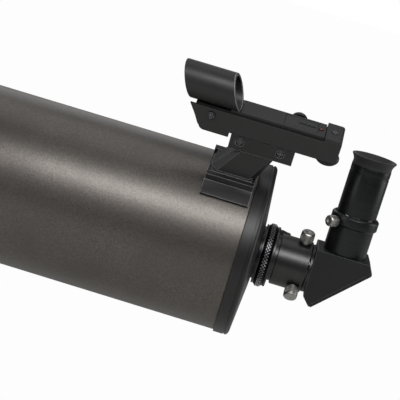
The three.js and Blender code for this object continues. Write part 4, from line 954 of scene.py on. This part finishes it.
shoe = eased_copy("finder_shoe", "finder_shoe_moulding", shoe_painted_shade_and_glints, 0.35)
fitted(shoe, "tube", "finder_plastic", "finder_shoe")
for number, station in ((1, -31.8), (2, -12.0)):
    screw = driven_screw(
        f"shoe_fixing_screw_{number}", black_oxide, (68.1, 1.9), (73.8, 74.7, 3.2),
        aimed((station, 0, 0), (0, 0, 1), FINDER), Depth=0.6, Span=4.0, Bar=0.9,
    )
    fitted(screw, "tube", "steel", f"shoe_screw_{number}")
grip_points = [
    (17.65, 0),
    (17.65, 1.6, 0.3),
    (26, 1.6),
    (26, 3.6, 0.2),
    (26.8, 4.15, 0.1),
    (33.2, 4.15, 0.1),
    (34, 3.5, 0.3),
    (34, 0),
]
shoe_lock = gripped(
    "shoe_lock_screw", satin_chrome, grip_points, aimed((-14, 0, 76.6), (0, 1, 0), FINDER), 48,
    Per_Row=32, Radius=4.1, First=30.0, Length=6.2, Width=0.6, Height=0.38, Top=0.4,
)
fitted(shoe_lock, "shoe_thumbscrew", "satin_chrome", "shoe_thumbscrew")

# Finder base: one moulding with a dovetail foot, a raked pedestal and the block that the cradle turns
# on. Two cross-recess screws sit deep in its near side, and a ribbed knob on the far side sets azimuth.
# The base is drawn a shade darker than the cradle, as painted shade, with bright painted glints along its
# ridges.
base_painted_shade_and_glints = textured_abs("charcoal_abs_painted_shade_and_ridge_glints", "131313", "1C1C1C", "989898")
base = eased_copy("finder_base", "finder_base_moulding", base_painted_shade_and_glints, 0.5)
# The block's top is a little lower than the solid's, so that a dark gap shows between it and the cradle.
BLOCK_TOP, GAP = 113, 0.7
to_finder = FINDER.inverted()
lowered = FINDER.to_3x3() @ Vector((0, 0, GAP))
for vertex in base.data.vertices:
    if (to_finder @ vertex.co).z > BLOCK_TOP:
        vertex.co -= lowered
fitted(base, "finder_base", "finder_plastic", "finder_base")
BLOCK_LEVEL = 107.8
for number, station in ((1, -22.7), (2, 10.2)):
    screw = driven_screw(
        f"base_recessed_screw_{number}", black_oxide, (8.7, 1.2), (8.8, 10.2, 3.1),
        aimed((station, 0, BLOCK_LEVEL), (0, -1, 0), FINDER), Depth=1.0, Span=4.6, Bar=1.3,
    )
    fitted(screw, "finder_base", "steel", f"base_screw_{number}")

# The knobs are moulded in a glossier black than the finder's body, with a speckle of about 1.1 mm.
knob_black, tree, shader, place = start_material("semi_gloss_black_abs", IOR=1.53, Roughness=0.36)
speck = add(tree, "ShaderNodeTexNoise", {"Vector": place, "Scale": 900.0, "Detail": 2.0})
vary(tree, shader, speck, tones=("141416", "1E1F21"), relief=(0.1, 0.0001))
knob_points = [
    (6, 0),
    (6, 1.6, 0.2),
    (11.3, 1.6),
    (11.3, 5.4, 0.4),
    (16.3, 5.4, 0.6),
    (16.3, 4.0, 0.2),
    (15.8, 3.6, 0.2),
    (15.8, 0),
]
azimuth = gripped(
    "azimuth_knob_ribbed", knob_black, knob_points, aimed((13, 0, BLOCK_LEVEL), (0, 1, 0), FINDER), 48,
    Per_Row=24, Radius=5.3, First=13.8, Length=3.6, Width=0.9, Height=0.65, Top=0.5,
)
fitted(azimuth, "azimuth_knob", "knob_plastic", "azimuth_knob")

# Finder cradle: an open moulded trough with a chin under its nose, pivoted on the base. A steel pin with
# a cross-recess head carries the sight arm near the nose.
cradle = eased_copy("finder_cradle", "finder_cradle_moulding", charcoal, 0.8, 3)
fitted(cradle, "finder_cradle", "finder_plastic", "finder_cradle")
pivot = driven_screw(
    "cradle_pivot_screw", black_oxide, (-11.7, 2.0), (12.3, 13.3, 3.4),
    aimed((-49.9, 0, 125.3), (0, -1, 0), FINDER), Depth=0.9, Span=4.8, Bar=1.4,
)
fitted(pivot, "finder_cradle", "steel", "cradle_pivot")
TAIL_STATION = 46.5
tail_screw = driven_screw(
    "cradle_tail_screw", black_oxide, (130.0, 1.2), (134.9, 135.6, 3.0),
    aimed((TAIL_STATION, 0, 0), (0, 0, 1), FINDER), Depth=0.6, Span=4.4, Bar=1.3,
)
fitted(tail_screw, "finder_cradle", "steel")
wheel_points = [
    (-6.1, 0),
    (-6.1, 8.0, 0.4),
    (-4.5, 9.4, 0.4),
    (-1.1, 9.4),
    (-0.3, 8.6, 0.2),
    (-0.3, 1.8),
    (7.3, 1.8, 0.2),
    (7.3, 0),
]
wheel = gripped(
    "altitude_thumbwheel", knob_black, wheel_points,
    aimed((TAIL_STATION, 0, 114.3), (0, 0, 1), FINDER), 72,
    Per_Row=40, Radius=9.3, First=-2.8, Length=3.0, Width=0.9, Height=0.58, Top=0.5,
)
fitted(wheel, "altitude_wheel", "knob_plastic", "altitude_wheel")
dial_points = [
    (10.7, 0),
    (10.7, 1.5),
    (12.3, 1.5),
    (12.3, 6.4, 0.4),
    (15.5, 6.4, 0.5),
    (15.5, 4.6, 0.2),
    (15.1, 4.3, 0.2),
    (15.1, 0),
]
dial = gripped(
    "brightness_dial", knob_black, dial_points, aimed((16.9, 0, 128.3), (0, 1, 0), FINDER), 48,
    Per_Row=28, Radius=6.3, First=13.9, Length=2.2, Width=0.9, Height=0.65, Top=0.5,
)
fitted(dial, "dimmer_dial", "knob_plastic", "dimmer_dial")

# Sight arm: the moulding that lies in the cradle, with the open sight tube moulded on its nose. The
# tube's ends are cut on a slant, and a half-silvered lens near its front throws the red dot back.
sight_arm = eased_copy("sight_arm", "sight_arm_moulding", charcoal, 0.4)
fitted(sight_arm, "sight_arm", "finder_plastic", "sight_arm")
SLANT = math.tan(math.radians(22))
slanted = Matrix.Identity(4)
slanted[0][2] = -SLANT
SIGHT = FINDER @ Matrix.Translation((0, 0, 145.0)) @ slanted
hood_points = [
    (-74.7, 10, 0.6),
    (-74.7, 14.4, 0.8),
    (-34.7, 14.4),
    (-34.7, 12.5),
    (-60.0, 12.2, 0.3),
    (-60.0, 10, 0.3),
]
hood = turned("sight_tube_hood", charcoal, hood_points, SIGHT, 128)
fitted(hood, "sight_arm", "finder_plastic", "sight_tube")
# The lip is the same plastic drawn lighter, with brighter corners: a painted highlight round the tube's rear
# rim.
lip_painted_highlight = textured_abs("charcoal_abs_painted_highlight_lip", "3A3A3A", "505050", "B0B0B0")
lip_points = [(-34.6, 12.6), (-34.6, 14.4), (-33.9, 14.4, 0.3), (-33.9, 12.5, 0.3)]
fitted(turned("sight_tube_lip", lip_painted_highlight, lip_points, SIGHT, 128), "sight_arm", "finder_plastic")

# Half-silvered glass with a faint amber cast: mostly clear, with a bright reflection.
amber_glass, tree, shader, place = start_material(
    "half_silvered_amber_glass",
    Base_Color=colour("E8D6BC"),
    Transmission_Weight=0.85,
    IOR=1.52,
    Thin_Film_Thickness=280.0,
    Thin_Film_IOR=2.1,
)
film = add(tree, "ShaderNodeTexNoise", {"Vector": place, "Scale": 120.0, "Detail": 2.0})
vary(tree, shader, film, roughness=(0.0, 0.03))
lens_points = [(-69.7, 0), (-69.7, 9.7, 0.2), (-67.7, 9.7, 0.2), (-67.7, 0)]
fitted(turned("sight_window", amber_glass, lens_points, SIGHT, 64), "sight_arm", "finder_glass", "sight_lens")

# A red light-emitting diode leans forwards in the arm: clear red epoxy with a domed tip.
red_epoxy, tree, shader, place = start_material(
    "clear_red_epoxy", Base_Color=colour("6A0E0B"), Transmission_Weight=0.6, IOR=1.54
)
cast = add(tree, "ShaderNodeTexNoise", {"Vector": place, "Scale": 900.0, "Detail": 1.0})
vary(tree, shader, cast, roughness=(0.04, 0.12))
lamp_points = [(-3.7, 0), (-3.7, 1.6, 0.2), (1.0, 1.6, 1.1), (1.0, 0)]
where = aimed((35.5, 0, 134.2), (-0.5, 0, math.sqrt(0.75)), FINDER)
diode = turned("sight_light_diode", red_epoxy, lamp_points, where, 32)
fitted(diode, "sight_arm", "lamp_plastic", "sight_lamp")

# The battery, a steel coin cell, lies under a small door with a slot for a fingernail.
cell_points = [(129.1, 0), (129.1, 6.4, 0.2), (129.5, 6.4), (129.5, 7, 0.2), (132.1, 7, 0.4), (132.1, 0)]
coin = turned("coin_cell", zinc, cell_points, aimed((19.5, 0, 0), (0, 0, 1), FINDER), 64)
fitted(coin, "sight_arm", "steel", "battery")
door = eased_copy("battery_door", "battery_door_plate", knob_black, 0.25)
fitted(door, "battery_door", "knob_plastic", "battery_door")

# Dovetail bar: an extruded and black anodised aluminium bar on two curved saddles, bolted through to the
# tube with socket-head screws. A mount's clamp holds it by its slanted flanks.

# The die leaves faint lines along the extrusion, drawn at about 0.7 mm.
bar_finish, tree, shader, place = start_material("black_anodised_extrusion", Metallic=0.7)
laid = add(tree, "ShaderNodeMapping", {"Vector": place, "Scale": (12.0, 1500.0, 1500.0)})
drawn = add(tree, "ShaderNodeTexNoise", {"Vector": laid.outputs[0], "Scale": 1.0, "Detail": 3.0})
vary(tree, shader, drawn, tones=("1C1D1F", "2C2D30"), roughness=(0.36, 0.5), relief=(0.1, 0.0001))
dovetail = eased_copy("dovetail_bar", "dovetail_extrusion", bar_finish, 0.5)
fitted(dovetail, "tube", "bar_paint", "dovetail_bar")
for number, station in ((1, -205.0), (2, -57.0)):
    saddle = eased_copy(f"dovetail_saddle_{number}", f"tube_saddle_{number}", bar_finish, 0.6)
    fitted(saddle, "tube", "bar_paint", f"dovetail_saddle_{number}")
    bolt = driven_screw(
        f"dovetail_socket_screw_{number}", zinc, (64.1, 2.4), (84.6, 88.6, 4.6),
        aimed((station, 0, 0), (0, 1, 0)), Depth=2.4, Span=4.4, Hexagon=True,
    )
    fitted(bolt, "tube", "steel", f"dovetail_screw_{number}")
